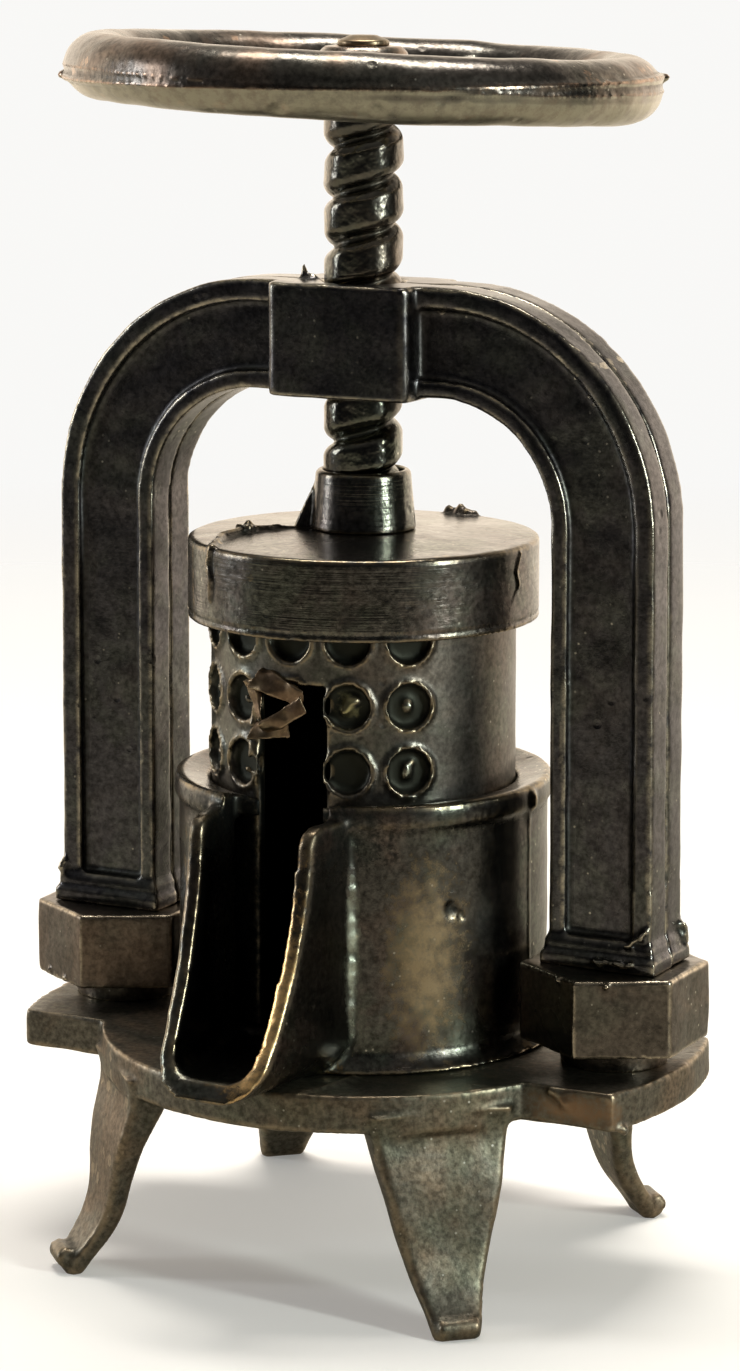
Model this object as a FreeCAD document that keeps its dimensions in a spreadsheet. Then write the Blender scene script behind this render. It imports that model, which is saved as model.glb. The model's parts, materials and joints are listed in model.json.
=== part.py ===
"""Miniature screw fruit press: a four-legged stand, a spouted vessel with a slotted basket,
a two-part yoke bolted over it, and a pressing cap driven down by a coarse screw and handwheel.

Millimetres. +Z is up, the screw's axis is Z, the spout points along -Y and the feet stand on Z = 0.
"""
import FreeCAD
import Part

import math
import os

import Sketcher

Vector = FreeCAD.Vector

# Every independent size of the press: (name, value in millimetres or degrees, what it is)
SIZES = [
    ("disc_margin", 5.55, "stand plate beyond the vessel's bead"),
    ("bar_margin", 1.7718, "cross bar beyond the hexagon's corner, each side"),
    ("bar_overhang", 5.3, "cross bar beyond the middle of each arm"),
    ("plate_thickness", 2.8, "disc and bar"),
    ("leg_height", 14.0, "floor to the underside of the plate"),
    ("leg_top_width", 10.8, "leg where it meets the plate"),
    ("leg_middle_width", 7.3, "leg at half height"),
    ("leg_middle_thickness", 1.75, "radial size at half height"),
    ("leg_tip_width", 3.4, "leg at the floor"),
    ("leg_top_thickness", 2.9, "radial size at the plate"),
    ("leg_tip_thickness", 1.4, "radial size at the floor"),
    ("leg_splay", 3.7, "how far the toes stand out past the disc"),
    ("leg_corner", 0.55, "rounding of the leg's long edges"),
    ("neck_radius", 3.9, "washer under each hexagon"),
    ("neck_height", 1.6, "washer under each hexagon"),
    ("hexagon_flats", 12.0, "across the flats of each yoke foot nut"),
    ("hexagon_height", 5.7, "yoke foot nut"),
    ("tie_radius", 1.3, "shank of the tie screw in each arm"),
    ("tie_head_radius", 2.6, "tie screw head, sunk in the bar"),
    ("tie_head_height", 1.5, "tie screw head"),
    ("tie_engagement", 9.0, "length of the tie screw inside the arm"),
    ("fit_clearance", 0.05, "radial clearance of every located or running fit"),
    ("hexagon_gap", 0.6, "vessel's bead to the flat of each hexagon, seen from above"),
    ("arm_width", 8.1, "yoke arm, side to side"),
    ("yoke_depth", 5.6, "yoke arm, front to back"),
    ("headroom", 5.5, "top of the sleeve to the crown, with the press at rest"),
    ("arch_radius", 17.0, "outside corner of the yoke"),
    ("outer_flange", 1.6, "raised border outside the yoke's panel"),
    ("inner_flange", 1.3, "raised border inside the yoke's panel"),
    ("panel_recess", 0.7, "depth of the yoke's panel"),
    ("collar_height", 1.0, "lower step at the foot of each arm"),
    ("collar_step", 0.5, "how far the lower step stands out"),
    ("upper_collar_height", 0.8, "upper step at the foot of each arm"),
    ("upper_collar_step", 0.25, "how far the upper step stands out"),
    ("collar_bevel", 0.5, "slope from the upper step to the arm"),
    ("crown_side_wall", 2.0, "metal beside the bush"),
    ("crown_front_wall", 0.7, "metal in front of the bush"),
    ("crown_drop", 0.3, "how far the block hangs below the arch"),
    ("crown_edge", 0.8, "rounding of the block's upright edges"),
    ("bush_wall", 0.875, "threaded bush, outside the thread's crest"),
    ("nut_height", 5.6, "threaded bush held in the crown"),
    ("nut_cover", 1.3, "metal of the crown above the bush"),
    ("dowel_radius", 0.8, "pins that line up the two yoke halves"),
    ("dowel_length", 2.8, "pins that line up the two yoke halves"),
    ("dowel_height", 31.0, "side pins above the hexagon"),
    ("crest_radius", 2.925, "screw thread, outside"),
    ("thread_depth", 0.775, "crest to the bottom of the groove"),
    ("thread_pitch", 3.6, "one turn of the single-start screw"),
    ("crest_land", 0.6, "width of the crest between two grooves"),
    ("groove_floor", 0.3, "thread groove at the root"),
    ("flank_bulge", 0.3, "roundness of the rope-like thread"),
    ("thread_clearance", 0.12, "screw to bush, all round"),
    ("thread_start", 1.1, "height of a groove centre on the +X side, before whole pitches"),
    ("ledge_width", 2.75, "basket to the outside of the vessel's bead"),
    ("vessel_wall", 1.5, "wall of the vessel"),
    ("vessel_floor", 2.0, "bottom of the vessel"),
    ("vessel_foot", 1.75, "flared foot of the vessel"),
    ("rim_bead", 2.0, "height of the rim bead"),
    ("bead_relief", 0.35, "step of the wall under the bead"),
    ("bead_groove", 0.22, "depth of the groove round the bead"),
    ("bead_crest", 0.6, "height of the roll above that groove"),
    ("ledge_drop", 0.55, "slope of the ledge from the rim to the basket"),
    ("ledge_thickness", 1.4, "ledge between the vessel and the basket"),
    ("spout_length", 10.55, "vessel's bead to the lip of the spout"),
    ("spout_root_width", 11.7, "spout at the vessel"),
    ("spout_lip_width", 8.3, "spout at the lip"),
    ("spout_wall", 1.35, "side walls of the spout"),
    ("spout_floor", 1.5, "floor of the spout"),
    ("spout_drop", 1.0, "top of the spout walls below the rim"),
    ("spout_shoulder", 3.3, "how far the wall tops stand out of the vessel"),
    ("spout_shoulder_round", 1.5, "rounding of the wall tops"),
    ("spout_sweep", 33.5, "radius of the hollow front edge of the spout walls"),
    ("spout_corner", 2.9, "outside rounding along the spout's underside"),
    ("vessel_screw_inset", 3.3, "basket's outside to the vessel screws' circle"),
    ("vessel_screw_radius", 0.9, "shank"),
    ("vessel_screw_head", 1.7, "head radius"),
    ("vessel_screw_head_height", 1.0, "head, sunk in the stand"),
    ("basket_radius", 11.3, "outside of the basket"),
    ("basket_wall", 1.1, "wall of the basket"),
    ("basket_height", 31.0, "basket, vessel floor to top"),
    ("basket_show", 13.4, "basket that stands above the vessel's rim"),
    ("slot_width", 5.5, "front slot of the basket"),
    ("slot_bridge", 5.4, "metal left above the front slot"),
    ("dimple_radius", 1.6, "blind hole of the basket's pattern"),
    ("dimple_depth", 0.6, "blind hole of the basket's pattern"),
    ("dimple_step", 22.5, "degrees between the columns of holes"),
    ("dimple_rise", 4.75, "height between the rows of holes"),
    ("dimple_top", 2.05, "top row below the basket's top edge"),
    ("dimple_ring", 0.32, "raised edge round each hole"),
    ("cap_gap", 0.6, "basket to the inside of the cap's skirt"),
    ("cap_height", 5.95, "pressing cap, at the edge"),
    ("cap_skirt", 1.1, "wall of the cap's skirt"),
    ("cap_top", 1.86, "top of the cap, at the edge"),
    ("cap_rise", 0.45, "the cap's top is this much higher in the middle"),
    ("cap_land_width", 0.5, "flat seat round the sleeve's foot"),
    ("cap_overlap", 1.85, "how far the cap's skirt hangs below the basket's top at rest"),
    ("cap_line", 0.16, "depth of the fine lines round the cap"),
    ("cap_lip", 0.5, "lower edge to the lowest fine line"),
    ("sleeve_taper", 0.35, "the sleeve's foot is this much wider than its top"),
    ("sleeve_wall", 0.625, "sleeve at its top, outside the thread's crest"),
    ("sleeve_height", 4.45, "sleeve"),
    ("sleeve_floor", 0.9, "bottom of the sleeve, under the thrust washer"),
    ("spigot_wall", 1.1, "neck of the sleeve, outside the journal"),
    ("washer_thickness", 0.5, "thrust washer"),
    ("journal_radius", 1.5, "plain end of the spindle"),
    ("clip_width", 0.8, "retaining clip, outside the journal"),
    ("clip_thickness", 0.45, "retaining clip"),
    ("clip_groove_depth", 0.4, "groove of the spindle under the clip"),
    ("journal_end", 0.9, "spindle below the clip"),
    ("plate_clearance", 0.3, "follower plate to basket, all round"),
    ("follower_thickness", 2.4, "follower plate"),
    ("follower_boss_wall", 3.7, "boss of the follower plate, outside the clip"),
    ("follower_boss_height", 4.0, "boss of the follower plate"),
    ("follower_screw_land", 1.4, "edge of the boss to the follower screws' circle"),
    ("follower_screw_radius", 0.6, "shank"),
    ("follower_screw_head", 1.1, "head radius"),
    ("follower_screw_head_height", 0.8, "head, sunk in the follower plate"),
    ("screw_engagement", 1.2, "small screws in the metal they hold"),
    ("wheel_gap", 14.95, "top of the yoke to the middle of the wheel's rim"),
    ("wheel_radius", 19.4, "screw axis to the middle of the rim's tube"),
    ("rim_radius", 2.4, "tube of the rim"),
    ("rim_flash", 0.14, "parting ridge round the rim"),
    ("wheel_lean", 2.7, "degrees that the rim leans, as cast"),
    ("wheel_lean_side", 28.1, "degrees from +X to the side that hangs lowest"),
    ("spoke_radius", 1.15, "half the thickness of a spoke"),
    ("hub_wall", 0.375, "hub of the wheel, outside the thread's crest"),
    ("hub_height", 4.4, "hub of the wheel"),
    ("hub_bore", 1.9, "square-shouldered end of the spindle in the hub"),
    ("end_nut_radius", 1.9, "small domed nut on top of the hub"),
    ("end_nut_height", 0.8, "small domed nut on top of the hub"),
    ("wheel_pin_radius", 0.5, "cross pin of the hub"),
]

# Sizes that follow from the ones above
DERIVED = [
    ("vessel_radius", "basket_radius + ledge_width"),
    ("spout_reach", "vessel_radius + spout_length"),
    ("vessel_screw_circle", "basket_radius - vessel_screw_inset"),
    ("disc_radius", "vessel_radius + disc_margin"),
    ("arm_offset", "vessel_radius + hexagon_gap + hexagon_flats / 2"),
    ("outer_reach", "arm_offset + arm_width / 2"),
    ("inner_reach", "arm_offset - arm_width / 2"),
    ("bar_half_depth", "hexagon_flats / sqrt(3) + bar_margin"),
    ("bar_end_radius", "arm_offset + bar_overhang"),
    ("plate_top", "leg_height + plate_thickness"),
    ("hexagon_base", "plate_top + neck_height"),
    ("yoke_base", "hexagon_base + hexagon_height"),
    ("vessel_base", "plate_top"),
    ("basket_base", "vessel_base + vessel_floor"),
    ("basket_top", "basket_base + basket_height"),
    ("vessel_rim", "basket_top - basket_show"),
    ("spout_top", "vessel_rim - spout_drop"),
    ("slot_top", "basket_top - slot_bridge"),
    ("cap_radius", "basket_radius + cap_gap + cap_skirt"),
    ("cap_lift", "basket_top - cap_overlap"),
    ("cap_edge", "cap_lift + cap_height"),
    ("cap_under", "cap_edge - cap_top"),
    ("cap_seat", "cap_edge + cap_rise"),
    ("sleeve_top", "cap_seat + sleeve_height"),
    ("sleeve_top_radius", "crest_radius + sleeve_wall"),
    ("sleeve_foot_radius", "sleeve_top_radius + sleeve_taper"),
    ("cap_land", "sleeve_foot_radius + cap_land_width"),
    ("spigot_radius", "journal_radius + spigot_wall"),
    ("arch_underside", "sleeve_top + headroom + crown_drop"),
    ("yoke_top", "arch_underside + arm_width"),
    ("half_depth", "yoke_depth / 2"),
    ("nut_radius", "crest_radius + bush_wall"),
    ("nut_top", "yoke_top - nut_cover"),
    ("nut_base", "nut_top - nut_height"),
    ("crown_width", "2 * (nut_radius + crown_side_wall)"),
    ("crown_depth", "2 * (nut_radius + crown_front_wall)"),
    ("washer_base", "cap_seat + sleeve_floor"),
    ("spindle_shoulder", "washer_base + washer_thickness + fit_clearance"),
    ("clip_radius", "journal_radius + clip_width"),
    ("clip_groove_radius", "journal_radius - clip_groove_depth"),
    ("clip_top", "cap_under - fit_clearance"),
    ("spindle_end", "clip_top - clip_thickness - journal_end"),
    ("follower_boss_radius", "clip_radius + follower_boss_wall"),
    ("follower_screw_circle", "follower_boss_radius - follower_screw_land"),
    ("follower_top", "cap_under - follower_boss_height"),
    ("follower_radius", "basket_radius - basket_wall - plate_clearance"),
    ("follower_base", "follower_top - follower_thickness"),
    ("root_radius", "crest_radius - thread_depth"),
    ("groove_width", "thread_pitch - crest_land"),
    ("flank_rise", "(groove_width - groove_floor) / 2"),
    ("flank_chord", "sqrt(flank_rise ^ 2 + thread_depth ^ 2)"),
    ("flank_radius", "(flank_chord ^ 2 / 4 + flank_bulge ^ 2) / (2 * flank_bulge)"),
    ("wheel_height", "yoke_top + wheel_gap"),
    ("hub_radius", "crest_radius + hub_wall"),
    ("hub_base", "wheel_height - hub_height / 2"),
    ("hub_top", "wheel_height + hub_height / 2"),
]

doc = FreeCAD.newDocument("ScrewPress")
sheet = doc.addObject("Spreadsheet::Sheet", "Sizes")


def fill_sheet():
    """Write the sizes as plain numbers and the derived ones as formulas."""
    for row, (name, value, note) in enumerate(SIZES, start=1):
        sheet.set(f"A{row}", str(value))
        sheet.setAlias(f"A{row}", name)
        sheet.set(f"B{row}", note)
    for row, (name, formula) in enumerate(DERIVED, start=len(SIZES) + 1):
        sheet.set(f"A{row}", "=" + formula)
        sheet.setAlias(f"A{row}", name)
    doc.recompute()


NAMES = sorted([entry[0] for entry in SIZES] + [entry[0] for entry in DERIVED], key=len, reverse=True)


def bound(formula):
    """The same formula with each size written as a reference to the sheet."""
    words, text = [], str(formula)
    word = ""
    for letter in text + " ":
        if letter.isalnum() or letter == "_":
            word += letter
            continue
        words.append("Sizes." + word if word in NAMES else word)
        words.append(letter)
        word = ""
    return "".join(words).strip()


def size(formula):
    """The present value of a formula, as a plain number."""
    value = sheet.evalExpression(bound(formula))
    return float(getattr(value, "Value", value))


def new_body(label):
    body = doc.addObject("PartDesign::Body", label + "_body")
    body.Label = label
    return body


def new_sketch(body, plane, name, offset="0", turn=None):
    """A sketch on one of the body's own planes, moved along its normal and turned if asked."""
    support = next(item for item in body.Origin.OriginFeatures if item.Role == plane)
    sketch = body.newObject("Sketcher::SketchObject", name)
    sketch.AttachmentSupport = (support, [""])
    sketch.MapMode = "FlatFace"
    if turn is not None:
        sketch.AttachmentOffset = FreeCAD.Placement(Vector(), turn)
    if str(offset) != "0":
        sketch.setExpression("AttachmentOffset.Base.z", bound(offset))
    return sketch


def pin_point(sketch, geometry, end, place):
    """Hold one end of an edge at a place given by two formulas."""
    for kind, formula in zip(("DistanceX", "DistanceY"), place):
        index = sketch.addConstraint(
            Sketcher.Constraint(kind, -1, 1, geometry, end, size(formula)))
        sketch.setExpression(f"Constraints[{index}]", bound(formula))


def add_edge(sketch, start, stop, arc=None):
    """A line, or the short arc whose centre lies left (side 1) or right (side -1) of the way.

    Returns the numbers of the edge's ends in the order start, stop. Arcs are drawn the way the
    sketcher keeps them, counter-clockwise, so one with its centre on the right runs backwards.
    """
    if arc is None:
        sketch.addGeometry(Part.LineSegment(start, stop))
        return (1, 2)
    radius, side = size(arc[0]), arc[1]
    middle, chord = (start + stop) * 0.5, stop - start
    left = Vector(-chord.y, chord.x, 0).normalize()
    rise = math.sqrt(max(radius * radius - chord.Length ** 2 / 4, 0.0))
    crown = middle - left * side * (radius - rise)
    if side > 0:
        sketch.addGeometry(Part.Arc(start, crown, stop))
        return (1, 2)
    sketch.addGeometry(Part.Arc(stop, crown, start))
    return (2, 1)


def outline(sketch, points, arcs=None):
    """A closed outline. arcs maps an edge's number to its radius formula and its side."""
    arcs = arcs or {}
    places = [Vector(size(x), size(y), 0) for x, y in points]
    first = sketch.GeometryCount
    ends = [add_edge(sketch, place, places[(number + 1) % len(places)], arcs.get(number))
            for number, place in enumerate(places)]
    for number, place in enumerate(points):
        before = number - 1 if number else len(points) - 1
        sketch.addConstraint(Sketcher.Constraint(
            "Coincident", first + before, ends[before][1], first + number, ends[number][0]))
        pin_point(sketch, first + number, ends[number][0], place)
    for number, (formula, side) in arcs.items():
        index = sketch.addConstraint(
            Sketcher.Constraint("Radius", first + number, size(formula)))
        sketch.setExpression(f"Constraints[{index}]", bound(formula))


def disc(sketch, place, radius):
    """A circle held at a place given by two formulas."""
    centre = Vector(size(place[0]), size(place[1]), 0)
    number = sketch.addGeometry(Part.Circle(centre, Vector(0, 0, 1), size(radius)))
    pin_point(sketch, number, 3, place)
    index = sketch.addConstraint(Sketcher.Constraint("Radius", number, size(radius)))
    sketch.setExpression(f"Constraints[{index}]", bound(radius))


def extrude(body, kind, sketch, length=None, reverse=False, midplane=False):
    """Pad or Pocket a sketch; without a length a pocket goes through everything."""
    feature = body.newObject("PartDesign::" + kind, kind + "_" + sketch.Name)
    feature.Profile = sketch
    if length is None:
        feature.Type = 1
    else:
        feature.setExpression("Length", bound(length))
    feature.Reversed = reverse
    feature.Midplane = midplane
    doc.recompute()
    return feature


def turn_round(body, kind, sketch, axis="V_Axis"):
    """Revolution or Groove of a sketch about its own upright axis."""
    feature = body.newObject("PartDesign::" + kind, kind + "_" + sketch.Name)
    feature.Profile = sketch
    feature.ReferenceAxis = (sketch, [axis])
    feature.Angle = 360
    doc.recompute()
    return feature


def repeat_round(body, features, count, angle="360"):
    """Copies of features about Z."""
    pattern = body.newObject("PartDesign::PolarPattern", "Pattern_" + features[0].Name)
    pattern.Originals = features
    pattern.Axis = (next(i for i in body.Origin.OriginFeatures if i.Role == "Z_Axis"), [""])
    pattern.Occurrences = count
    pattern.Angle = float(angle)
    body.Tip = pattern
    doc.recompute()
    return pattern


def box_points(left, right, low, high):
    return [(left, low), (right, low), (right, high), (left, high)]


def turned(label, points, arcs=None):
    """A body made by one turned outline: (radius, height) formulas."""
    body = new_body(label)
    sketch = new_sketch(body, "XZ_Plane", label + "_outline")
    outline(sketch, points, arcs)
    turn_round(body, "Revolution", sketch)
    return body


# ---------------------------------------------------------------- stand

def leg_section(body, level, reach, thickness, width, name):
    """A rounded rectangle across the leg at one height; the leg lies along the sketch's X."""
    turn = FreeCAD.Rotation(Vector(0, 0, 1), 45)
    sketch = new_sketch(body, "XY_Plane", name, level, turn)
    back, corner = f"({reach}) - ({thickness})", "leg_corner"
    half = f"({width}) / 2"
    points = [
        (f"{back} + {corner}", f"-{half}"), (f"({reach}) - {corner}", f"-{half}"),
        (reach, f"-{half} + {corner}"), (reach, f"{half} - {corner}"),
        (f"({reach}) - {corner}", half), (f"{back} + {corner}", half),
        (back, f"{half} - {corner}"), (back, f"-{half} + {corner}"),
    ]
    outline(sketch, points, {number: (corner, 1) for number in (1, 3, 5, 7)})
    return sketch


def make_stand():
    body = new_body("base_stand")
    plate = new_sketch(body, "XY_Plane", "stand_disc", "leg_height")
    disc(plate, ("0", "0"), "disc_radius")
    extrude(body, "Pad", plate, "plate_thickness")

    bar = new_sketch(body, "XY_Plane", "stand_bar", "leg_height")
    end = "sqrt(bar_end_radius ^ 2 - bar_half_depth ^ 2)"
    corners = [(f"-{end}", "-bar_half_depth"), (end, "-bar_half_depth"),
               (end, "bar_half_depth"), (f"-{end}", "bar_half_depth")]
    outline(bar, corners, {1: ("bar_end_radius", 1), 3: ("bar_end_radius", 1)})
    extrude(body, "Pad", bar, "plate_thickness")

    toe = "disc_radius + leg_splay"
    # height, outside of the leg, thickness, width
    sections = [
        ("leg_height + plate_thickness / 2", "disc_radius - 0.05", "leg_top_thickness",
         "leg_top_width"),
        ("leg_height * 0.76", "disc_radius + leg_splay * 0.09",
         "(leg_top_thickness + leg_middle_thickness) / 2", "(leg_top_width + leg_middle_width) / 2"),
        ("leg_height * 0.5", "disc_radius + leg_splay * 0.22", "leg_middle_thickness",
         "leg_middle_width"),
        ("leg_height * 0.26", "disc_radius + leg_splay * 0.46", "leg_middle_thickness",
         "(leg_middle_width + leg_tip_width) / 2"),
        ("leg_height * 0.1", f"{toe} - leg_splay * 0.14", "leg_middle_thickness",
         "leg_tip_width * 1.2"),
        ("0", toe, "leg_tip_thickness", "leg_tip_width"),
    ]
    drawn = [leg_section(body, *section, f"leg_section_{number}")
             for number, section in enumerate(sections)]
    leg = body.newObject("PartDesign::AdditiveLoft", "leg")
    leg.Profile = drawn[0]
    leg.Sections = drawn[1:]
    leg.Ruled = False
    doc.recompute()
    repeat_round(body, [leg], 4)

    holes = new_sketch(body, "XY_Plane", "stand_holes", "leg_height")
    heads = new_sketch(body, "XY_Plane", "stand_head_pockets", "leg_height")
    for side in ("-", ""):
        disc(holes, (f"{side}arm_offset", "0"), "tie_radius + fit_clearance")
        disc(heads, (f"{side}arm_offset", "0"), "tie_head_radius + fit_clearance")
    extrude(body, "Pocket", holes, "plate_thickness", reverse=True)
    extrude(body, "Pocket", heads, "tie_head_height", reverse=True)

    shank = new_sketch(body, "XY_Plane", "stand_screw_hole", "leg_height")
    disc(shank, ("0", "vessel_screw_circle"), "vessel_screw_radius + fit_clearance")
    head = new_sketch(body, "XY_Plane", "stand_screw_head", "leg_height")
    disc(head, ("0", "vessel_screw_circle"), "vessel_screw_head + fit_clearance")
    cut = [extrude(body, "Pocket", shank, "plate_thickness", reverse=True),
           extrude(body, "Pocket", head, "vessel_screw_head_height", reverse=True)]
    repeat_round(body, cut, 3)
    return body


def cheese_head(label, places, base, shank, head, head_height, length):
    """Screws with a plain round head at the bottom, one solid for each place."""
    pieces = []
    for number, (x, y) in enumerate(places):
        low = doc.addObject("Part::Cylinder", f"{label}_head_{number}")
        low.setExpression("Radius", bound(head))
        low.setExpression("Height", bound(head_height))
        high = doc.addObject("Part::Cylinder", f"{label}_shank_{number}")
        high.setExpression("Radius", bound(shank))
        high.setExpression("Height", bound(length))
        for part in (low, high):
            part.setExpression("Placement.Base.x", bound(x))
            part.setExpression("Placement.Base.y", bound(y))
            part.setExpression("Placement.Base.z", bound(base))
        screw = doc.addObject("Part::Fuse", f"{label}_{number}")
        screw.Base, screw.Tool = low, high
        pieces.append(screw)
    if len(pieces) == 1:
        pieces[0].Label = label
        return pieces[0]
    return group(label, pieces)


def group(label, pieces):
    """Separate solids kept together in one node."""
    compound = doc.addObject("Part::Compound", label + "_group")
    compound.Label = label
    compound.Links = pieces
    return compound


def make_foot_fixings(side, word):
    """Neck washer, hexagon and tie screw of one yoke arm."""
    centre = f"{side}arm_offset"
    hole = "tie_radius + fit_clearance"

    washer = new_body(word + "_neck_washer")
    ring = new_sketch(washer, "XY_Plane", word + "_ring", "plate_top")
    disc(ring, (centre, "0"), "neck_radius")
    disc(ring, (centre, "0"), hole)
    extrude(washer, "Pad", ring, "neck_height")

    nut = new_body(word + "_hex_nut")
    hexagon = new_sketch(nut, "XY_Plane", word + "_hexagon", "hexagon_base")
    corner = "hexagon_flats / sqrt(3)"
    half = f"{corner} / 2"
    points = [(centre, f"-{corner}"), (f"{centre} + hexagon_flats / 2", f"-{half}"),
              (f"{centre} + hexagon_flats / 2", half), (centre, corner),
              (f"{centre} - hexagon_flats / 2", half),
              (f"{centre} - hexagon_flats / 2", f"-{half}")]
    outline(hexagon, points)
    disc(hexagon, (centre, "0"), hole)
    extrude(nut, "Pad", hexagon, "hexagon_height")

    length = "plate_thickness + neck_height + hexagon_height + tie_engagement"
    screw = cheese_head(word + "_tie_screw", [(centre, "0")], "leg_height", "tie_radius",
                        "tie_head_radius", "tie_head_height", length)
    return [washer, nut, screw]


# ---------------------------------------------------------------- yoke

def arch_outline(sketch, outer, inner, low, top_radius, under_radius, top, under):
    """An upside-down U from its outer and inner half widths, with round shoulders."""
    points = [
        (f"-({outer})", low), (f"-({inner})", low),
        (f"-({inner})", f"{under} - ({under_radius})"), (f"-({inner}) + ({under_radius})", under),
        (f"{inner} - ({under_radius})", under), (inner, f"{under} - ({under_radius})"),
        (inner, low), (outer, low),
        (outer, f"{top} - ({top_radius})"), (f"{outer} - ({top_radius})", top),
        (f"-({outer}) + ({top_radius})", top), (f"-({outer})", f"{top} - ({top_radius})"),
    ]
    arcs = {2: (under_radius, -1), 4: (under_radius, -1), 8: (top_radius, 1), 10: (top_radius, 1)}
    outline(sketch, points, arcs)


def make_yoke_half(label, front):
    """One half of the yoke, joined to the other on the plane Y = 0."""
    body = new_body(label)
    back = not front
    ring = new_sketch(body, "XZ_Plane", label + "_arch")
    arch_outline(ring, "outer_reach", "inner_reach", "yoke_base", "arch_radius",
                 "arch_radius - arm_width", "yoke_top", "arch_underside")
    extrude(body, "Pad", ring, "half_depth", reverse=back)

    block = new_sketch(body, "XZ_Plane", label + "_crown")
    outline(block, box_points("-crown_width / 2", "crown_width / 2",
                              "arch_underside - crown_drop", "yoke_top"))
    crown = extrude(body, "Pad", block, "crown_depth / 2", reverse=back)
    edges = upright_edges(crown.Shape, size("crown_width / 2"), size("crown_depth / 2"))
    rounding = body.newObject("PartDesign::Fillet", label + "_crown_edges")
    rounding.Base = (crown, edges)
    rounding.setExpression("Radius", bound("crown_edge"))
    doc.recompute()

    for side in ("-", ""):
        cut_panel(body, label, side, front)
        add_collar(body, label, side, front)

    bores = new_sketch(body, "XY_Plane", label + "_tie_bores", "yoke_base")
    for side in ("-", ""):
        disc(bores, (f"{side}arm_offset", "0"), "tie_radius + fit_clearance")
    extrude(body, "Pocket", bores, "tie_engagement + fit_clearance", reverse=True)

    hole = new_sketch(body, "XY_Plane", label + "_screw_hole", "arch_underside - crown_drop")
    disc(hole, ("0", "0"), "crest_radius + 3 * fit_clearance")
    extrude(body, "Pocket", hole, "arm_width + crown_drop", reverse=True)
    seat = new_sketch(body, "XY_Plane", label + "_nut_seat", "nut_base")
    disc(seat, ("0", "0"), "nut_radius + fit_clearance")
    extrude(body, "Pocket", seat, "nut_height", reverse=True)

    pins = new_sketch(body, "XZ_Plane", label + "_dowel_holes")
    for place in dowel_places():
        disc(pins, place, "dowel_radius + fit_clearance")
    extrude(body, "Pocket", pins, "dowel_length / 2 + fit_clearance", reverse=front)
    return body


def upright_edges(shape, reach, depth):
    """Names of the crown block's two outside upright edges."""
    names = []
    for number, edge in enumerate(shape.Edges, start=1):
        ends = [vertex.Point for vertex in edge.Vertexes]
        if len(ends) != 2 or abs(ends[0].x - ends[1].x) > 1e-6:
            continue
        if all(abs(abs(p.x) - reach) < 1e-4 and abs(abs(p.y) - depth) < 1e-4 for p in ends):
            names.append(f"Edge{number}")
    return names


def dowel_places():
    level = "yoke_base + dowel_height"
    return [("-arm_offset", level), ("arm_offset", level)]


def cut_panel(body, label, side, front):
    """The sunk panel of one arm and shoulder, between the raised borders and the crown."""
    word = "left" if side else "right"
    sign = "-1" if side else "1"
    panel = new_sketch(body, "XZ_Plane", f"{label}_{word}_panel", panel_level(front))
    outer, inner = "outer_reach - outer_flange", "inner_reach + inner_flange"
    top, under = "yoke_top - outer_flange", "arch_underside + inner_flange"
    low = "yoke_base + collar_height + upper_collar_height + collar_bevel"
    big, small = "arch_radius - outer_flange", "arch_radius - arm_width + inner_flange"
    points = [
        (f"{sign} * ({inner})", low), (f"{sign} * ({outer})", low),
        (f"{sign} * ({outer})", f"{top} - ({big})"), (f"{sign} * ({outer} - ({big}))", top),
        (f"{sign} * (crown_width / 2)", top), (f"{sign} * (crown_width / 2)", under),
        (f"{sign} * ({inner} - ({small}))", under), (f"{sign} * ({inner})", f"{under} - ({small})"),
    ]
    turn = -1 if side else 1
    outline(panel, points, {2: (big, turn), 6: (small, -turn)})
    # Cut outwards from the panel's floor, so the crown block beside it is not touched.
    extrude(body, "Pocket", panel, "crown_depth", reverse=front)


def panel_level(front):
    """The panel's floor, measured along the sketch plane's normal."""
    return "half_depth - panel_recess" if front else "panel_recess - half_depth"


def add_collar(body, label, side, front):
    """The foot of one arm: two steps and a bevel up to the arm."""
    word = "left" if side else "right"
    shoulder = "yoke_base + collar_height"
    neck = f"{shoulder} + upper_collar_height"
    sketches = []
    for number, (level, step) in enumerate((("yoke_base", "collar_step"),
                                            (shoulder, "upper_collar_step"),
                                            (neck, "upper_collar_step"),
                                            (f"{neck} + collar_bevel", "0"))):
        sketch = new_sketch(body, "XY_Plane", f"{label}_{word}_collar_{number}", level)
        half = f"arm_width / 2 + {step}"
        near, far = "0", f"half_depth + {step}"
        low, high = (f"-({far})", near) if front else (near, far)
        outline(sketch, box_points(f"{side}arm_offset - ({half})", f"{side}arm_offset + {half}",
                                   low, high))
        sketches.append(sketch)
    extrude(body, "Pad", sketches[0], "collar_height")
    extrude(body, "Pad", sketches[1], "upper_collar_height")
    loft(body, "AdditiveLoft", f"{label}_{word}_bevel", sketches[2:])


def make_dowels():
    pieces = []
    for number, (x, z) in enumerate(dowel_places()):
        pin = doc.addObject("Part::Cylinder", f"dowel_{number}")
        pin.setExpression("Radius", bound("dowel_radius"))
        pin.setExpression("Height", bound("dowel_length"))
        pin.Placement.Rotation = FreeCAD.Rotation(Vector(1, 0, 0), 90)
        pin.setExpression("Placement.Base.x", bound(x))
        pin.setExpression("Placement.Base.y", bound("dowel_length / 2"))
        pin.setExpression("Placement.Base.z", bound(z))
        pieces.append(pin)
    return group("yoke_dowels", pieces)


# ---------------------------------------------------------------- screw and bush

def axis_of(body):
    return next(item for item in body.Origin.OriginFeatures if item.Role == "Z_Axis")


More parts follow.
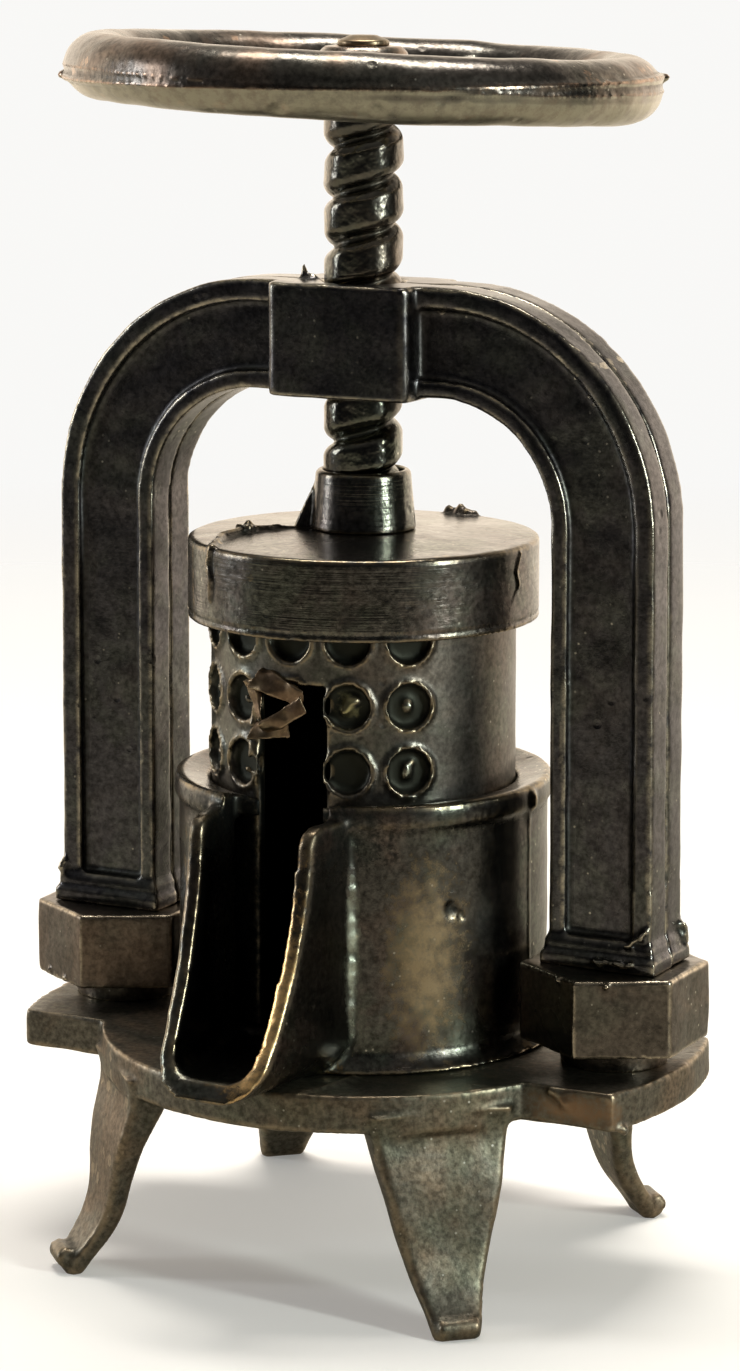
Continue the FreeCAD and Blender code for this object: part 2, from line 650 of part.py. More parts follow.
def cut_helix(body, section, low, high):
    """Sweep a section up a right-hand helix from below low to above high."""
    groove = body.newObject("PartDesign::SubtractiveHelix", section.Name + "_helix")
    groove.Profile = section
    groove.ReferenceAxis = (axis_of(body), [""])
    groove.Mode = 1
    groove.setExpression("Pitch", bound("thread_pitch"))
    groove.Turns = math.ceil((size(high) - size(low)) / size("thread_pitch")) + 1.5
    groove.LeftHanded = False
    doc.recompute()


def make_spindle():
    """Journal, coarse rope-like thread and the stub that carries the wheel."""
    clip_low = "clip_top - clip_thickness - fit_clearance"
    stub = "hub_bore / 2"
    body = turned("screw_spindle", [
        ("0", "spindle_end"), ("journal_radius", "spindle_end"), ("journal_radius", clip_low),
        ("clip_groove_radius", clip_low), ("clip_groove_radius", "cap_under"),
        ("journal_radius", "cap_under"), ("journal_radius", "spindle_shoulder"),
        ("crest_radius", "spindle_shoulder"), ("crest_radius", "hub_base"),
        ("hub_bore", "hub_base"), ("hub_bore", "hub_top"), (stub, "hub_top"),
        (stub, "hub_top + end_nut_height / 2"), ("0", "hub_top + end_nut_height / 2"),
    ])
    section = new_sketch(body, "XZ_Plane", "spindle_groove")
    turns_below = "floor((spindle_shoulder - thread_start) / thread_pitch)"
    middle = f"thread_start + thread_pitch * {turns_below}"
    outside = "crest_radius + 1"
    outline(section, [
        (outside, f"{middle} - groove_width / 2"), ("crest_radius", f"{middle} - groove_width / 2"),
        ("root_radius", f"{middle} - groove_floor / 2"),
        ("root_radius", f"{middle} + groove_floor / 2"),
        ("crest_radius", f"{middle} + groove_width / 2"), (outside, f"{middle} + groove_width / 2"),
    ][::-1], {1: ("flank_radius", -1), 3: ("flank_radius", -1)})
    cut_helix(body, section, "spindle_shoulder", "hub_base")

    hole = new_sketch(body, "YZ_Plane", "spindle_pin_hole")
    disc(hole, ("0", pin_level()), "wheel_pin_radius + fit_clearance / 2")
    extrude(body, "Pocket", hole, "4 * hub_bore", midplane=True)
    return body


def pin_level():
    return "hub_base + 1.4 * wheel_pin_radius"


def make_crown_nut():
    """Threaded bush; its ridge follows the screw's groove with a clearance all round."""
    bore = "(root_radius + 2 * thread_clearance)"
    body = turned("crown_nut", [(bore, "nut_base"), ("nut_radius", "nut_base"),
                                ("nut_radius", "nut_top"), (bore, "nut_top")])
    section = new_sketch(body, "XZ_Plane", "bush_groove")
    turns_below = "floor((nut_base - thread_start) / thread_pitch)"
    middle = f"(thread_start + thread_pitch * ({turns_below} - 0.5))"
    lean_out = "(flank_rise / flank_chord)"
    lean_in = "(thread_depth / flank_chord)"
    waist_out = f"((crest_radius + root_radius) / 2 + (flank_bulge + thread_clearance) * {lean_out})"
    waist_half = (f"(thread_pitch / 2 - (groove_width + groove_floor) / 4"
                  f" + (flank_bulge + thread_clearance) * {lean_in})")
    tip_half = "(thread_pitch / 2 - groove_floor / 2 + thread_clearance / 2)"
    foot_half = "(thread_pitch / 2 - groove_width / 2 + 2 * thread_clearance)"
    top = "crest_radius + thread_clearance"
    outline(section, [
        ("root_radius", f"{middle} - {tip_half}"), (bore, f"{middle} - {tip_half}"),
        (waist_out, f"{middle} - {waist_half}"), (top, f"{middle} - {foot_half}"),
        (top, f"{middle} + {foot_half}"), (waist_out, f"{middle} + {waist_half}"),
        (bore, f"{middle} + {tip_half}"), ("root_radius", f"{middle} + {tip_half}"),
    ])
    cut_helix(body, section, "nut_base", "nut_top")
    return body


# ---------------------------------------------------------------- vessel and basket

def trough_section(body, name, offset, half, low, corner, top):
    """A U seen from the front: upright sides and a rounded bottom."""
    sketch = new_sketch(body, "XZ_Plane", name, offset)
    points = [(f"-({half})", f"{low} + {corner}"), (f"-({half}) + {corner}", low),
              (f"{half} - ({corner})", low), (half, f"{low} + {corner}"),
              (half, top), (f"-({half})", top)]
    outline(sketch, points, {0: (corner, 1), 2: (corner, 1)})
    return sketch


def loft(body, kind, name, sections):
    feature = body.newObject("PartDesign::" + kind, name)
    feature.Profile = sections[0]
    feature.Sections = sections[1:]
    feature.Ruled = True
    doc.recompute()


def make_vessel():
    wall_radius = "(vessel_radius - bead_relief)"
    bead_low = "vessel_rim - rim_bead"
    groove = "vessel_rim - bead_crest"
    mouth = "basket_radius + fit_clearance"
    body = turned("vessel", [
        ("0", "vessel_base"), (f"{wall_radius} + vessel_foot", "vessel_base"),
        (wall_radius, "vessel_base + vessel_foot"), (wall_radius, bead_low),
        ("vessel_radius", f"{bead_low} + bead_relief"), ("vessel_radius", f"{groove} - bead_groove"),
        ("vessel_radius - bead_groove", groove), ("vessel_radius", f"{groove} + bead_groove"),
        ("vessel_radius - bead_crest / 2", "vessel_rim"), (mouth, "vessel_rim - ledge_drop"),
        ("0", "vessel_rim - ledge_drop"),
    ], {1: ("vessel_foot", -1), 7: ("bead_crest", 1)})

    corner = "spout_corner"
    root = trough_section(body, "spout_root", "vessel_radius - 2 * vessel_wall",
                          "spout_root_width / 2", "vessel_base", corner, "spout_top")
    lip = trough_section(body, "spout_lip", "spout_reach", "spout_lip_width / 2",
                         "vessel_base", corner, "spout_top")
    loft(body, "AdditiveLoft", "spout", [root, lip])

    front = new_sketch(body, "YZ_Plane", "spout_front")
    shoulder, turn = "(vessel_radius + spout_shoulder)", "spout_shoulder_round"
    outline(front, [
        ("-spout_reach", "vessel_base"), (f"-{shoulder}", f"spout_top - {turn}"),
        (f"-{shoulder} + {turn}", "spout_top"), (f"-{shoulder} + {turn}", "spout_top + 1"),
        ("-spout_reach - 2", "spout_top + 1"), ("-spout_reach - 2", "vessel_base"),
    ], {0: ("spout_sweep", 1), 1: (turn, -1)})
    extrude(body, "Pocket", front, "2 * spout_root_width", midplane=True)

    hollow = new_sketch(body, "XZ_Plane", "vessel_hollow")
    inside = f"{wall_radius} - vessel_wall"
    under = "vessel_rim - ledge_drop - ledge_thickness"
    outline(hollow, [("0", "basket_base"), (inside, "basket_base"), (inside, under),
                     (mouth, under), (mouth, "vessel_rim + 1"), ("0", "vessel_rim + 1")])
    turn_round(body, "Groove", hollow)

    inner_corner = "spout_corner * 0.55"
    ends = [("trough_root", "basket_radius", "spout_root_width / 2 - spout_wall"),
            ("trough_lip", "spout_reach + 1", "spout_lip_width / 2 - spout_wall")]
    loft(body, "SubtractiveLoft", "trough",
         [trough_section(body, name, offset, half, "vessel_base + spout_floor", inner_corner,
                         "vessel_rim + 1") for name, offset, half in ends])

    blind = new_sketch(body, "XY_Plane", "vessel_screw_hole", "vessel_base")
    disc(blind, ("0", "vessel_screw_circle"), "vessel_screw_radius + fit_clearance")
    hole = extrude(body, "Pocket", blind, "screw_engagement + fit_clearance", reverse=True)
    repeat_round(body, [hole], 3)
    return body


def column_sketch(body, name, reach):
    """A sketch that faces the basket's first column of holes, two steps left of the front."""
    sketch = new_sketch(body, "XZ_Plane", name)
    turn = "-2 * dimple_step * 1 deg"
    sketch.AttachmentOffset = FreeCAD.Placement(
        Vector(), FreeCAD.Rotation(Vector(0, 1, 0), size("-2 * dimple_step")))
    sketch.setExpression("AttachmentOffset.Base.x", bound(f"({reach}) * sin({turn})"))
    sketch.setExpression("AttachmentOffset.Base.z", bound(f"({reach}) * cos({turn})"))
    return sketch


def make_basket():
    """Slotted cylinder with a pattern of blind holes round its front."""
    body = turned("basket", [
        ("basket_radius - basket_wall", "basket_base"), ("basket_radius", "basket_base"),
        ("basket_radius", "basket_top"), ("basket_radius - basket_wall", "basket_top")])
    rings = column_sketch(body, "basket_rings", "basket_radius - basket_wall / 2")
    holes = column_sketch(body, "basket_holes", "basket_radius - dimple_depth")
    for row in range(3):
        place = ("0", f"basket_top - dimple_top - {row} * dimple_rise")
        disc(rings, place, "dimple_radius + dimple_ring")
        disc(holes, place, "dimple_radius")
    raised = extrude(body, "Pad", rings, "basket_wall / 2 + dimple_ring * 0.6")
    sunk = extrude(body, "Pocket", holes, "dimple_depth + dimple_ring", reverse=True)
    repeat_round(body, [raised, sunk], 5, size("4 * dimple_step"))

    slot = new_sketch(body, "XZ_Plane", "basket_slot")
    outline(slot, box_points("-slot_width / 2", "slot_width / 2", "basket_base - 1", "slot_top"))
    extrude(body, "Pocket", slot, "basket_radius + 1", reverse=True)
    return body


# ---------------------------------------------------------------- pressing cap

def three_places(circle):
    return [(f"{circle} * cos({angle} deg)", f"{circle} * sin({angle} deg)")
            for angle in (90, 210, 330)]


def fine_line(level):
    """Three points of a small V cut into the side of the cap."""
    return [("cap_radius", f"{level} - cap_line"), ("cap_radius - cap_line", level),
            ("cap_radius", f"{level} + cap_line")]


def make_cap():
    edge = "cap_line * 2"
    low, middle, high = "cap_lift + cap_lip", "cap_edge - 4 * cap_lip", "cap_edge - 3 * cap_lip"
    body = turned("press_cap", [
        ("spigot_radius + fit_clearance", "cap_under"), ("cap_radius - cap_skirt", "cap_under"),
        ("cap_radius - cap_skirt", "cap_lift"), ("cap_radius", "cap_lift"),
        *fine_line(low), *fine_line(middle), *fine_line(high),
        ("cap_radius", f"cap_edge - {edge}"), (f"cap_radius - {edge}", "cap_edge"),
        ("cap_land", "cap_seat"), ("spigot_radius + fit_clearance", "cap_seat"),
    ], {13: (edge, 1)})
    blind = new_sketch(body, "XY_Plane", "cap_screw_hole", "cap_under")
    disc(blind, ("0", "follower_screw_circle"), "follower_screw_radius + fit_clearance")
    hole = extrude(body, "Pocket", blind, "screw_engagement + fit_clearance", reverse=True)
    repeat_round(body, [hole], 3)
    return body


def make_sleeve():
    """Socket that carries the spindle's shoulder, with a neck through the cap."""
    bore, edge = "crest_radius + 2 * fit_clearance", "sleeve_top_radius - crest_radius - 0.2"
    return turned("cap_sleeve", [
        ("journal_radius + fit_clearance", "cap_under"), ("spigot_radius", "cap_under"),
        ("spigot_radius", "cap_seat"), ("sleeve_foot_radius", "cap_seat"),
        ("sleeve_top_radius", f"sleeve_top - ({edge})"),
        (f"sleeve_top_radius - ({edge})", "sleeve_top"), (bore, "sleeve_top"),
        (bore, "washer_base"), ("journal_radius + fit_clearance", "washer_base"),
    ], {4: (edge, 1)})


def make_thrust_washer():
    return turned("thrust_washer", [
        ("journal_radius + fit_clearance", "washer_base"), ("crest_radius", "washer_base"),
        ("crest_radius", "washer_base + washer_thickness"),
        ("journal_radius + fit_clearance", "washer_base + washer_thickness")])


def make_clip():
    """Open ring snapped into the groove at the end of the spindle."""
    body = turned("retaining_clip", [
        ("clip_groove_radius + fit_clearance", "clip_top - clip_thickness"),
        ("clip_radius", "clip_top - clip_thickness"), ("clip_radius", "clip_top"),
        ("clip_groove_radius + fit_clearance", "clip_top")])
    gap = new_sketch(body, "XY_Plane", "clip_gap", "clip_top")
    outline(gap, box_points("-clip_groove_radius / 2", "clip_groove_radius / 2",
                            "-clip_radius - 1", "0"))
    extrude(body, "Pocket", gap, "clip_thickness")
    return body


def make_follower():
    """Plate that presses inside the basket, on a hollow boss under the cap."""
    cavity, roof = "clip_radius + plate_clearance", "spindle_end - plate_clearance"
    body = turned("follower_plate", [
        ("0", "follower_base"), ("follower_radius", "follower_base"),
        ("follower_radius", "follower_top"), ("follower_boss_radius", "follower_top"),
        ("follower_boss_radius", "cap_under"), (cavity, "cap_under"), (cavity, roof), ("0", roof)])
    shank = new_sketch(body, "XY_Plane", "follower_screw_hole", "follower_base")
    disc(shank, ("0", "follower_screw_circle"), "follower_screw_radius + fit_clearance")
    head = new_sketch(body, "XY_Plane", "follower_head_pocket", "follower_base")
    disc(head, ("0", "follower_screw_circle"), "follower_screw_head + fit_clearance")
    cut = [extrude(body, "Pocket", shank, "follower_thickness + follower_boss_height", reverse=True),
           extrude(body, "Pocket", head, "follower_screw_head_height", reverse=True)]
    repeat_round(body, cut, 3)
    return body


# ---------------------------------------------------------------- handwheel

def leaning_sketch(body, plane, name):
    """A sketch centred on the rim's middle and leaning with it."""
    sketch = new_sketch(body, plane, name)
    side = math.radians(size("wheel_lean_side"))
    if plane == "XZ_Plane":
        hinge = Vector(-math.sin(side), 0, -math.cos(side))
    else:
        hinge = Vector(math.cos(side), 0, -math.sin(side))
    lean = FreeCAD.Rotation(hinge, size("wheel_lean"))
    sketch.AttachmentOffset = FreeCAD.Placement(Vector(), lean)
    sketch.setExpression("AttachmentOffset.Base.y", bound("wheel_height"))
    return sketch


def make_wheel():
    edge = "hub_radius * 0.15"
    body = turned("handwheel", [
        ("0", "hub_base"), (f"hub_radius - {edge}", "hub_base"), ("hub_radius", f"hub_base + {edge}"),
        ("hub_radius", f"hub_top - {edge}"), (f"hub_radius - {edge}", "hub_top"), ("0", "hub_top")])
    for plane in ("XZ_Plane", "YZ_Plane"):
        spoke = leaning_sketch(body, plane, "spoke_" + plane[:2])
        disc(spoke, ("0", "0"), "spoke_radius")
        extrude(body, "Pad", spoke, "2 * wheel_radius", midplane=True)
    rim = leaning_sketch(body, "XZ_Plane", "wheel_rim")
    disc(rim, ("wheel_radius", "0"), "rim_radius")
    turn_round(body, "Revolution", rim)
    ridge = leaning_sketch(body, "XZ_Plane", "rim_ridge")
    outline(ridge, [("wheel_radius + rim_radius * 0.9", "-rim_flash * 1.5"),
                    ("wheel_radius + rim_radius + rim_flash", "0"),
                    ("wheel_radius + rim_radius * 0.9", "rim_flash * 1.5")])
    turn_round(body, "Revolution", ridge)

    bore = new_sketch(body, "XY_Plane", "wheel_bore", "hub_base")
    disc(bore, ("0", "0"), "hub_bore + fit_clearance / 2")
    extrude(body, "Pocket", bore, "hub_height", reverse=True)
    hole = new_sketch(body, "YZ_Plane", "hub_pin_hole")
    disc(hole, ("0", pin_level()), "wheel_pin_radius + fit_clearance / 2")
    extrude(body, "Pocket", hole, "2 * hub_radius", midplane=True)
    return body


def make_wheel_pin():
    pin = doc.addObject("Part::Cylinder", "hub_cross_pin")
    pin.Label = "wheel_pin"
    pin.setExpression("Radius", bound("wheel_pin_radius"))
    pin.setExpression("Height", bound("2 * hub_radius"))
    pin.Placement.Rotation = FreeCAD.Rotation(Vector(0, 1, 0), 90)
    pin.setExpression("Placement.Base.x", bound("-hub_radius"))
    pin.setExpression("Placement.Base.z", bound(pin_level()))
    return pin


def make_end_nut():
    stub, tall = "hub_bore / 2 + fit_clearance", "end_nut_height"
    roof = f"hub_top + {tall} / 2 + fit_clearance"
    return turned("wheel_end_nut", [
        ("0", roof), (stub, roof), (stub, "hub_top"), ("end_nut_radius", "hub_top"),
        ("end_nut_radius", f"hub_top + {tall} / 2"), ("end_nut_radius / 2", f"hub_top + {tall}"),
        ("0", f"hub_top + {tall}")])


# ---------------------------------------------------------------- the whole press

def make_screws():
    vessel = cheese_head("vessel_screws", three_places("vessel_screw_circle"), "leg_height",
                         "vessel_screw_radius", "vessel_screw_head", "vessel_screw_head_height",
                         "plate_thickness + screw_engagement")
    follower = cheese_head("follower_screws", three_places("follower_screw_circle"),
                           "follower_base", "follower_screw_radius", "follower_screw_head",
                           "follower_screw_head_height",
                           "follower_thickness + follower_boss_height + screw_engagement")
    return [vessel, follower]


def build():
    fill_sheet()
    pieces = [make_stand(), make_vessel(), make_basket()]
    pieces += make_foot_fixings("-", "left") + make_foot_fixings("", "right")
    pieces += [make_yoke_half("yoke_front_half", True), make_yoke_half("yoke_back_half", False)]
    pieces += [make_dowels(), make_crown_nut(), make_cap(), make_sleeve(), make_thrust_washer()]
    pieces += [make_follower(), make_spindle(), make_clip()]
    pieces += [make_wheel(), make_wheel_pin(), make_end_nut()] + make_screws()
    doc.recompute()
    return pieces


def check(pieces):
    """Stop if any feature failed or any piece is not a sound solid."""
    for item in doc.Objects:
        if {"Invalid", "Error"} & set(item.State):
            raise RuntimeError(f"{item.Name} failed: {item.State}")
    for piece in pieces:
        shape = piece.Shape
        if shape.isNull() or not shape.isValid() or not shape.Solids:
            raise RuntimeError(f"{piece.Label} has no valid solid")
        print(f"{piece.Label:20s} solids {len(shape.Solids)} volume {shape.Volume:9.2f}")


def export(pieces):
    os.makedirs("parts", exist_ok=True)
    for piece in pieces:
        piece.Shape.exportStep(f"parts/{piece.Label}.step")


PIECES = build()
check(PIECES)
export(PIECES)
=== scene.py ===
# %% [markdown]
# # A small cast screw press
# A handwheel turns one coarse screw through the crown of a yoke and lowers a cap over a slotted
# basket. Everything is pressure-cast metal, blackened and then rubbed back by handling. The frame
# below brings in the working model at its real size; this lesson gives each casting the soft
# edges, seams, flash and worn finish that the foundry and the years leave behind.

import json
import math
import random

import bpy
from mathutils import Matrix, Vector, noise


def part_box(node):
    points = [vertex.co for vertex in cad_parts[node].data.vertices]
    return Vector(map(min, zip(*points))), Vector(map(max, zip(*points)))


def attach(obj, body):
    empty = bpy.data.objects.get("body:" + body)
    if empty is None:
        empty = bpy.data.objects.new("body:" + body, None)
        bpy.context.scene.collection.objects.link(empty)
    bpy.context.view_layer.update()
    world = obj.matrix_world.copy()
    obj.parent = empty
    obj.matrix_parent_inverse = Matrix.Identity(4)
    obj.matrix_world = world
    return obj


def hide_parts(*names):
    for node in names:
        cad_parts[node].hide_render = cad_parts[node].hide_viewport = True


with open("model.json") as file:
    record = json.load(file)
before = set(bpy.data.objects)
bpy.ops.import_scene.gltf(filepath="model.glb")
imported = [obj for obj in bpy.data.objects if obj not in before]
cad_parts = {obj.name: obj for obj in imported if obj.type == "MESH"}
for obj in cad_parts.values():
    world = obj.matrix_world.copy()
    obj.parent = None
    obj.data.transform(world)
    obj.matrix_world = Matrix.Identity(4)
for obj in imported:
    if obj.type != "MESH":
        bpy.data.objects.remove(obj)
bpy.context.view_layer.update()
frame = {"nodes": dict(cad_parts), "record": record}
MM = 0.001
BODY_OF = {node: body for body, nodes in frame["record"]["behaviour"]["bodies"].items()
           for node in nodes}
SLOT_OF = {entry["node"]: entry["material_slot"] for entry in frame["record"]["subparts"]}
dice = random.Random(12)


def low(node):
    """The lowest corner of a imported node, in millimetres."""
    return Vector(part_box(node)[0]) / MM


def high(node):
    """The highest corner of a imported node, in millimetres."""
    return Vector(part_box(node)[1]) / MM


# %% [markdown]
# ## Camera
# Small objects are usually shown with a long lens from a little above. A slight downward tilt plus
# a small lens shift keeps the uprights nearly parallel, as an architect's camera would.

# %% Camera
VIEW_SIDE = math.radians(28.1)  # how far round from the front, toward the right arm
VIEW_TILT = math.radians(6.96)  # how far the lens looks down
VIEW_BACK, VIEW_ASIDE, VIEW_HEIGHT = 0.3022, 0.00048, 0.0999  # the lens's place, in metres
FOCAL_LENGTH, LENS_SHIFT, NEAREST = 108.5, -0.2, 0.01
camera_data = bpy.data.cameras.new("view")
camera = bpy.data.objects.new("view", camera_data)
bpy.context.collection.objects.link(camera)
camera_data.lens = FOCAL_LENGTH
camera_data.shift_y = LENS_SHIFT
camera_data.clip_start = NEAREST
away = Vector((math.sin(VIEW_SIDE), -math.cos(VIEW_SIDE), 0))
sideways = Vector((math.cos(VIEW_SIDE), math.sin(VIEW_SIDE), 0))
camera.location = away * VIEW_BACK + sideways * VIEW_ASIDE + Vector((0, 0, VIEW_HEIGHT))
camera.rotation_euler = (math.radians(90) - VIEW_TILT, 0, VIEW_SIDE)
bpy.context.scene.camera = camera


# %% [markdown]
# ## Pattern helpers
# Every finish below is built from nodes. Five short helpers keep that readable: one adds a node
# with its values and links, one turns a stretch of a value into 0 to 1, one does arithmetic, and
# two blend colours and values.

# %% Node helpers
def add_node(tree, kind, settings=None, **values):
    """A node with its settings, input values and links; a socket as a value becomes a link."""
    node = tree.nodes.new("ShaderNode" + kind)
    for name, value in (settings or {}).items():
        setattr(node, name, value)
    for name, value in values.items():
        socket = node.inputs[int(name[2:])] if name.startswith("in") else \
            node.inputs[name.replace("_", " ")]
        if isinstance(value, bpy.types.NodeSocket):
            tree.links.new(value, socket)
        else:
            socket.default_value = value
    return node


def stretch(tree, value, start, end):
    """Turn the stretch from start to end of a value into 0 to 1, cut off outside."""
    return add_node(tree, "MapRange", Value=value, From_Min=start, From_Max=end).outputs["Result"]


def combine(tree, how, first, second):
    """Arithmetic with two values or sockets."""
    return add_node(tree, "Math", {"operation": how}, in0=first, in1=second).outputs["Value"]


def blend_colours(tree, share, first, second, how="MIX"):
    """First colour at share 0, second at share 1."""
    return add_node(tree, "Mix", {"data_type": "RGBA", "blend_type": how},
                    in0=share, in6=first, in7=second).outputs[2]


def blend_values(tree, share, first, second):
    """First value at share 0, second at share 1."""
    return add_node(tree, "Mix", {"data_type": "FLOAT"},
                    in0=share, in2=first, in3=second).outputs[0]


# %% [markdown]
# ## Floor and light
# Dark polished metal has hardly any colour of its own: it shows the room. A room that is dim on
# the viewer's side and bright behind the press gives black fronts with pale glancing sides, which
# is how such a piece looks on a table by a wall. The pale floor fades out into the backdrop, so
# that there is no horizon line. Two upright windows and a soft ceiling draw the bright streaks.

# %% Floor
def deselect_all():
    """Leave edit mode and let go of everything: an operator acts on all that is selected."""
    if bpy.context.object and bpy.context.object.mode != "OBJECT":
        bpy.ops.object.mode_set(mode="OBJECT")
    bpy.ops.object.select_all(action="DESELECT")


PAPER = (0.9, 0.895, 0.88, 1)
FLOOR_PALE, FLOOR_MIRRORED = (0.85, 0.845, 0.835, 1), (0.36, 0.33, 0.27, 1)
FLOOR_RADIUS, FLOOR_SOLID, FLOOR_CLEAR = 0.9, 0.09, 0.42  # whole up to one radius, gone at another
FLOOR_DULLNESS, FLOOR_GLOW = 0.9, 0.22


def add_floor():
    """A pale disc that turns clear towards its edge; the metal mirrors it darker than it is."""
    deselect_all()
    bpy.ops.mesh.primitive_circle_add(vertices=96, radius=FLOOR_RADIUS, fill_type="NGON",
                                      location=(0, 0, 0))
    floor = bpy.context.object
    floor.name = "floor"
    paint = bpy.data.materials.new("pale_paper")
    paint.use_nodes = True
    tree = paint.node_tree
    shader = tree.nodes["Principled BSDF"]
    shader.inputs["Roughness"].default_value = FLOOR_DULLNESS
    mirrored = add_node(tree, "LightPath").outputs["Is Glossy Ray"]
    pale = blend_colours(tree, mirrored, FLOOR_PALE, FLOOR_MIRRORED)
    tree.links.new(pale, shader.inputs["Base Color"])
    tree.links.new(pale, shader.inputs["Emission Color"])
    shader.inputs["Emission Strength"].default_value = FLOOR_GLOW
    place = add_node(tree, "TexCoord").outputs["Object"]
    far = add_node(tree, "VectorMath", {"operation": "LENGTH"}, in0=place).outputs["Value"]
    tree.links.new(stretch(tree, far, FLOOR_CLEAR, FLOOR_SOLID), shader.inputs["Alpha"])
    floor.data.materials.append(paint)


add_floor()


# %% Room
ROOM_FRONT, ROOM_BACK = (0.018, 0.018, 0.02, 1), (1.8, 1.55, 1.25, 1)
ROOM_ABOVE, ROOM_BELOW = (0.2, 0.19, 0.17, 1), (0.4, 0.37, 0.3, 1)
ROOM_STRENGTH = 1.05
LOOK_AT = Vector((0, 0, 0.05))


def add_room():
    """Backdrop for the eye; for reflections, a dim room with a bright wall behind the press."""
    world = bpy.data.worlds.new("room")
    bpy.context.scene.world = world
    world.use_nodes = True
    tree = world.node_tree
    view = add_node(tree, "TexCoord").outputs["Generated"]
    facing = add_node(tree, "VectorMath", {"operation": "DOT_PRODUCT"}, in0=view,
                      in1=tuple(away)).outputs["Value"]
    height = add_node(tree, "SeparateXYZ", Vector=view).outputs["Z"]
    behind = stretch(tree, facing, -0.3, -0.46)
    behind = combine(tree, "MULTIPLY", behind, stretch(tree, height, 0.75, 0.25))
    above = stretch(tree, height, 0.25, 0.95)
    below = stretch(tree, height, -0.1, -0.5)
    dim = blend_colours(tree, above, ROOM_FRONT, ROOM_ABOVE)
    dim = blend_colours(tree, below, dim, ROOM_BELOW)
    surround = blend_colours(tree, behind, dim, ROOM_BACK)
    rays = add_node(tree, "LightPath")
    shown = blend_colours(tree, rays.outputs["Is Camera Ray"], surround, PAPER)
    tree.links.new(shown, tree.nodes["Background"].inputs["Color"])
    tree.nodes["Background"].inputs["Strength"].default_value = ROOM_STRENGTH


def view_place(right, back, up):
    """A place given from the camera's side: to the right, behind the press, above the floor."""
    return sideways * right - away * back + Vector((0, 0, up))


def add_panel(name, place, size, watts, tint=(1, 1, 1)):
    """A rectangular soft light that faces the middle of the press."""
    data = bpy.data.lights.new(name, "AREA")
    data.shape = "RECTANGLE"
    data.size, data.size_y = size
    data.energy = watts
    data.color = tint
    light = bpy.data.objects.new(name, data)
    bpy.context.collection.objects.link(light)
    light.location = place
    light.rotation_euler = (LOOK_AT - light.location).to_track_quat("-Z", "Y").to_euler()


add_room()
add_panel("window_right", view_place(0.42, -0.30, 0.18), (0.04, 0.24), 1.7, (0.93, 1.0, 0.93))
add_panel("window_left", view_place(-0.50, 0.04, 0.16), (0.06, 0.28), 0.7, (0.96, 0.98, 1.0))
add_panel("ceiling", view_place(0.02, 0.10, 0.55), (0.36, 0.14), 2.8, (1.0, 0.94, 0.85))
bpy.context.scene.view_settings.view_transform = "Standard"


# %% [markdown]
# ## Patterns for old blackened metal
# Each pattern that more than one finish uses is a node group with its own inputs. *Grain* is the
# sand-fine skin of a casting with the odd pit. *Turning lines* are the fine rings a lathe leaves.
# *Patina* drifts between black, brown and green. *Rubbed edges* finds the convex places that
# fingers polish, *settled dirt* the hollows, and a *patch of marks and painted light* is a soft
# patch about a point: some are marks of the metal, some painted shadow, highlights and reflections.
# All of them read the piece's own coordinates.

# %% Group helpers
def new_group(name, inputs, outputs):
    """A shader node group with named sockets."""
    group = bpy.data.node_groups.new(name, "ShaderNodeTree")
    for label, kind, value in inputs:
        socket = group.interface.new_socket(label, in_out="INPUT", socket_type="NodeSocket" + kind)
        socket.default_value = value
    for label, kind in outputs:
        group.interface.new_socket(label, in_out="OUTPUT", socket_type="NodeSocket" + kind)
    given = group.nodes.new("NodeGroupInput").outputs
    return group, given, group.nodes.new("NodeGroupOutput").inputs


def in_millimetres(tree, squeeze=(1, 1, 1)):
    """Object coordinates counted in millimetres, squeezed along an axis if asked."""
    place = add_node(tree, "TexCoord")
    scale = tuple(share / MM for share in squeeze)
    return add_node(tree, "Mapping", Vector=place.outputs["Object"], Scale=scale).outputs["Vector"]


def cloud(tree, place, scale, detail=3.0, rough=0.6, **more):
    """Soft noise about 0.5; the scale is in cycles for each millimetre."""
    return add_node(tree, "TexNoise", Vector=place, Scale=scale, Detail=detail, Roughness=rough,
                    **more).outputs["Fac"]


# %% Grain and turning lines
def make_grain():
    """Height in millimetres: fine sand skin, soft lumps and scattered pits."""
    group, given, result = new_group(
        "casting grain",
        [("Sand", "Float", 0.02), ("Lumps", "Float", 0.05), ("Pits", "Float", 0.06)],
        [("Height", "Float")])
    place = in_millimetres(group)
    cell = add_node(group, "TexVoronoi", Vector=place, Scale=0.42, Randomness=1.0)
    dent = stretch(group, cell.outputs["Distance"], 0.16, 0.05)
    dent = combine(group, "MULTIPLY", dent,
                   stretch(group, cloud(group, place, 0.16, detail=1), 0.5, 0.62))
    sand = combine(group, "MULTIPLY",
                   cloud(group, place, 4.5, detail=4, rough=0.62), given["Sand"])
    lumps = combine(group, "MULTIPLY",
                    cloud(group, place, 0.5, detail=3, rough=0.5), given["Lumps"])
    pits = combine(group, "MULTIPLY", dent, given["Pits"])
    total = combine(group, "SUBTRACT", combine(group, "ADD", sand, lumps), pits)
    group.links.new(total, result["Height"])
    return group


RING_SQUEEZE = (0.012, 0.012, 1)  # noise drawn out around Z becomes fine rings


def make_turning():
    """Height in millimetres of fine uneven rings about Z, worn away in patches."""
    group, given, result = new_group("turning lines", [("Depth", "Float", 0.01)],
                                     [("Height", "Float")])
    rings = cloud(group, in_millimetres(group, RING_SQUEEZE), 5.0, detail=2, rough=0.7)
    wear = stretch(group, cloud(group, in_millimetres(group), 0.3, detail=3), 0.4, 0.6)
    depth = combine(group, "MULTIPLY", wear, given["Depth"])
    group.links.new(combine(group, "MULTIPLY", rings, depth), result["Height"])
    return group


# %% Patina
DUST = (0.5, 0.48, 0.42, 1)


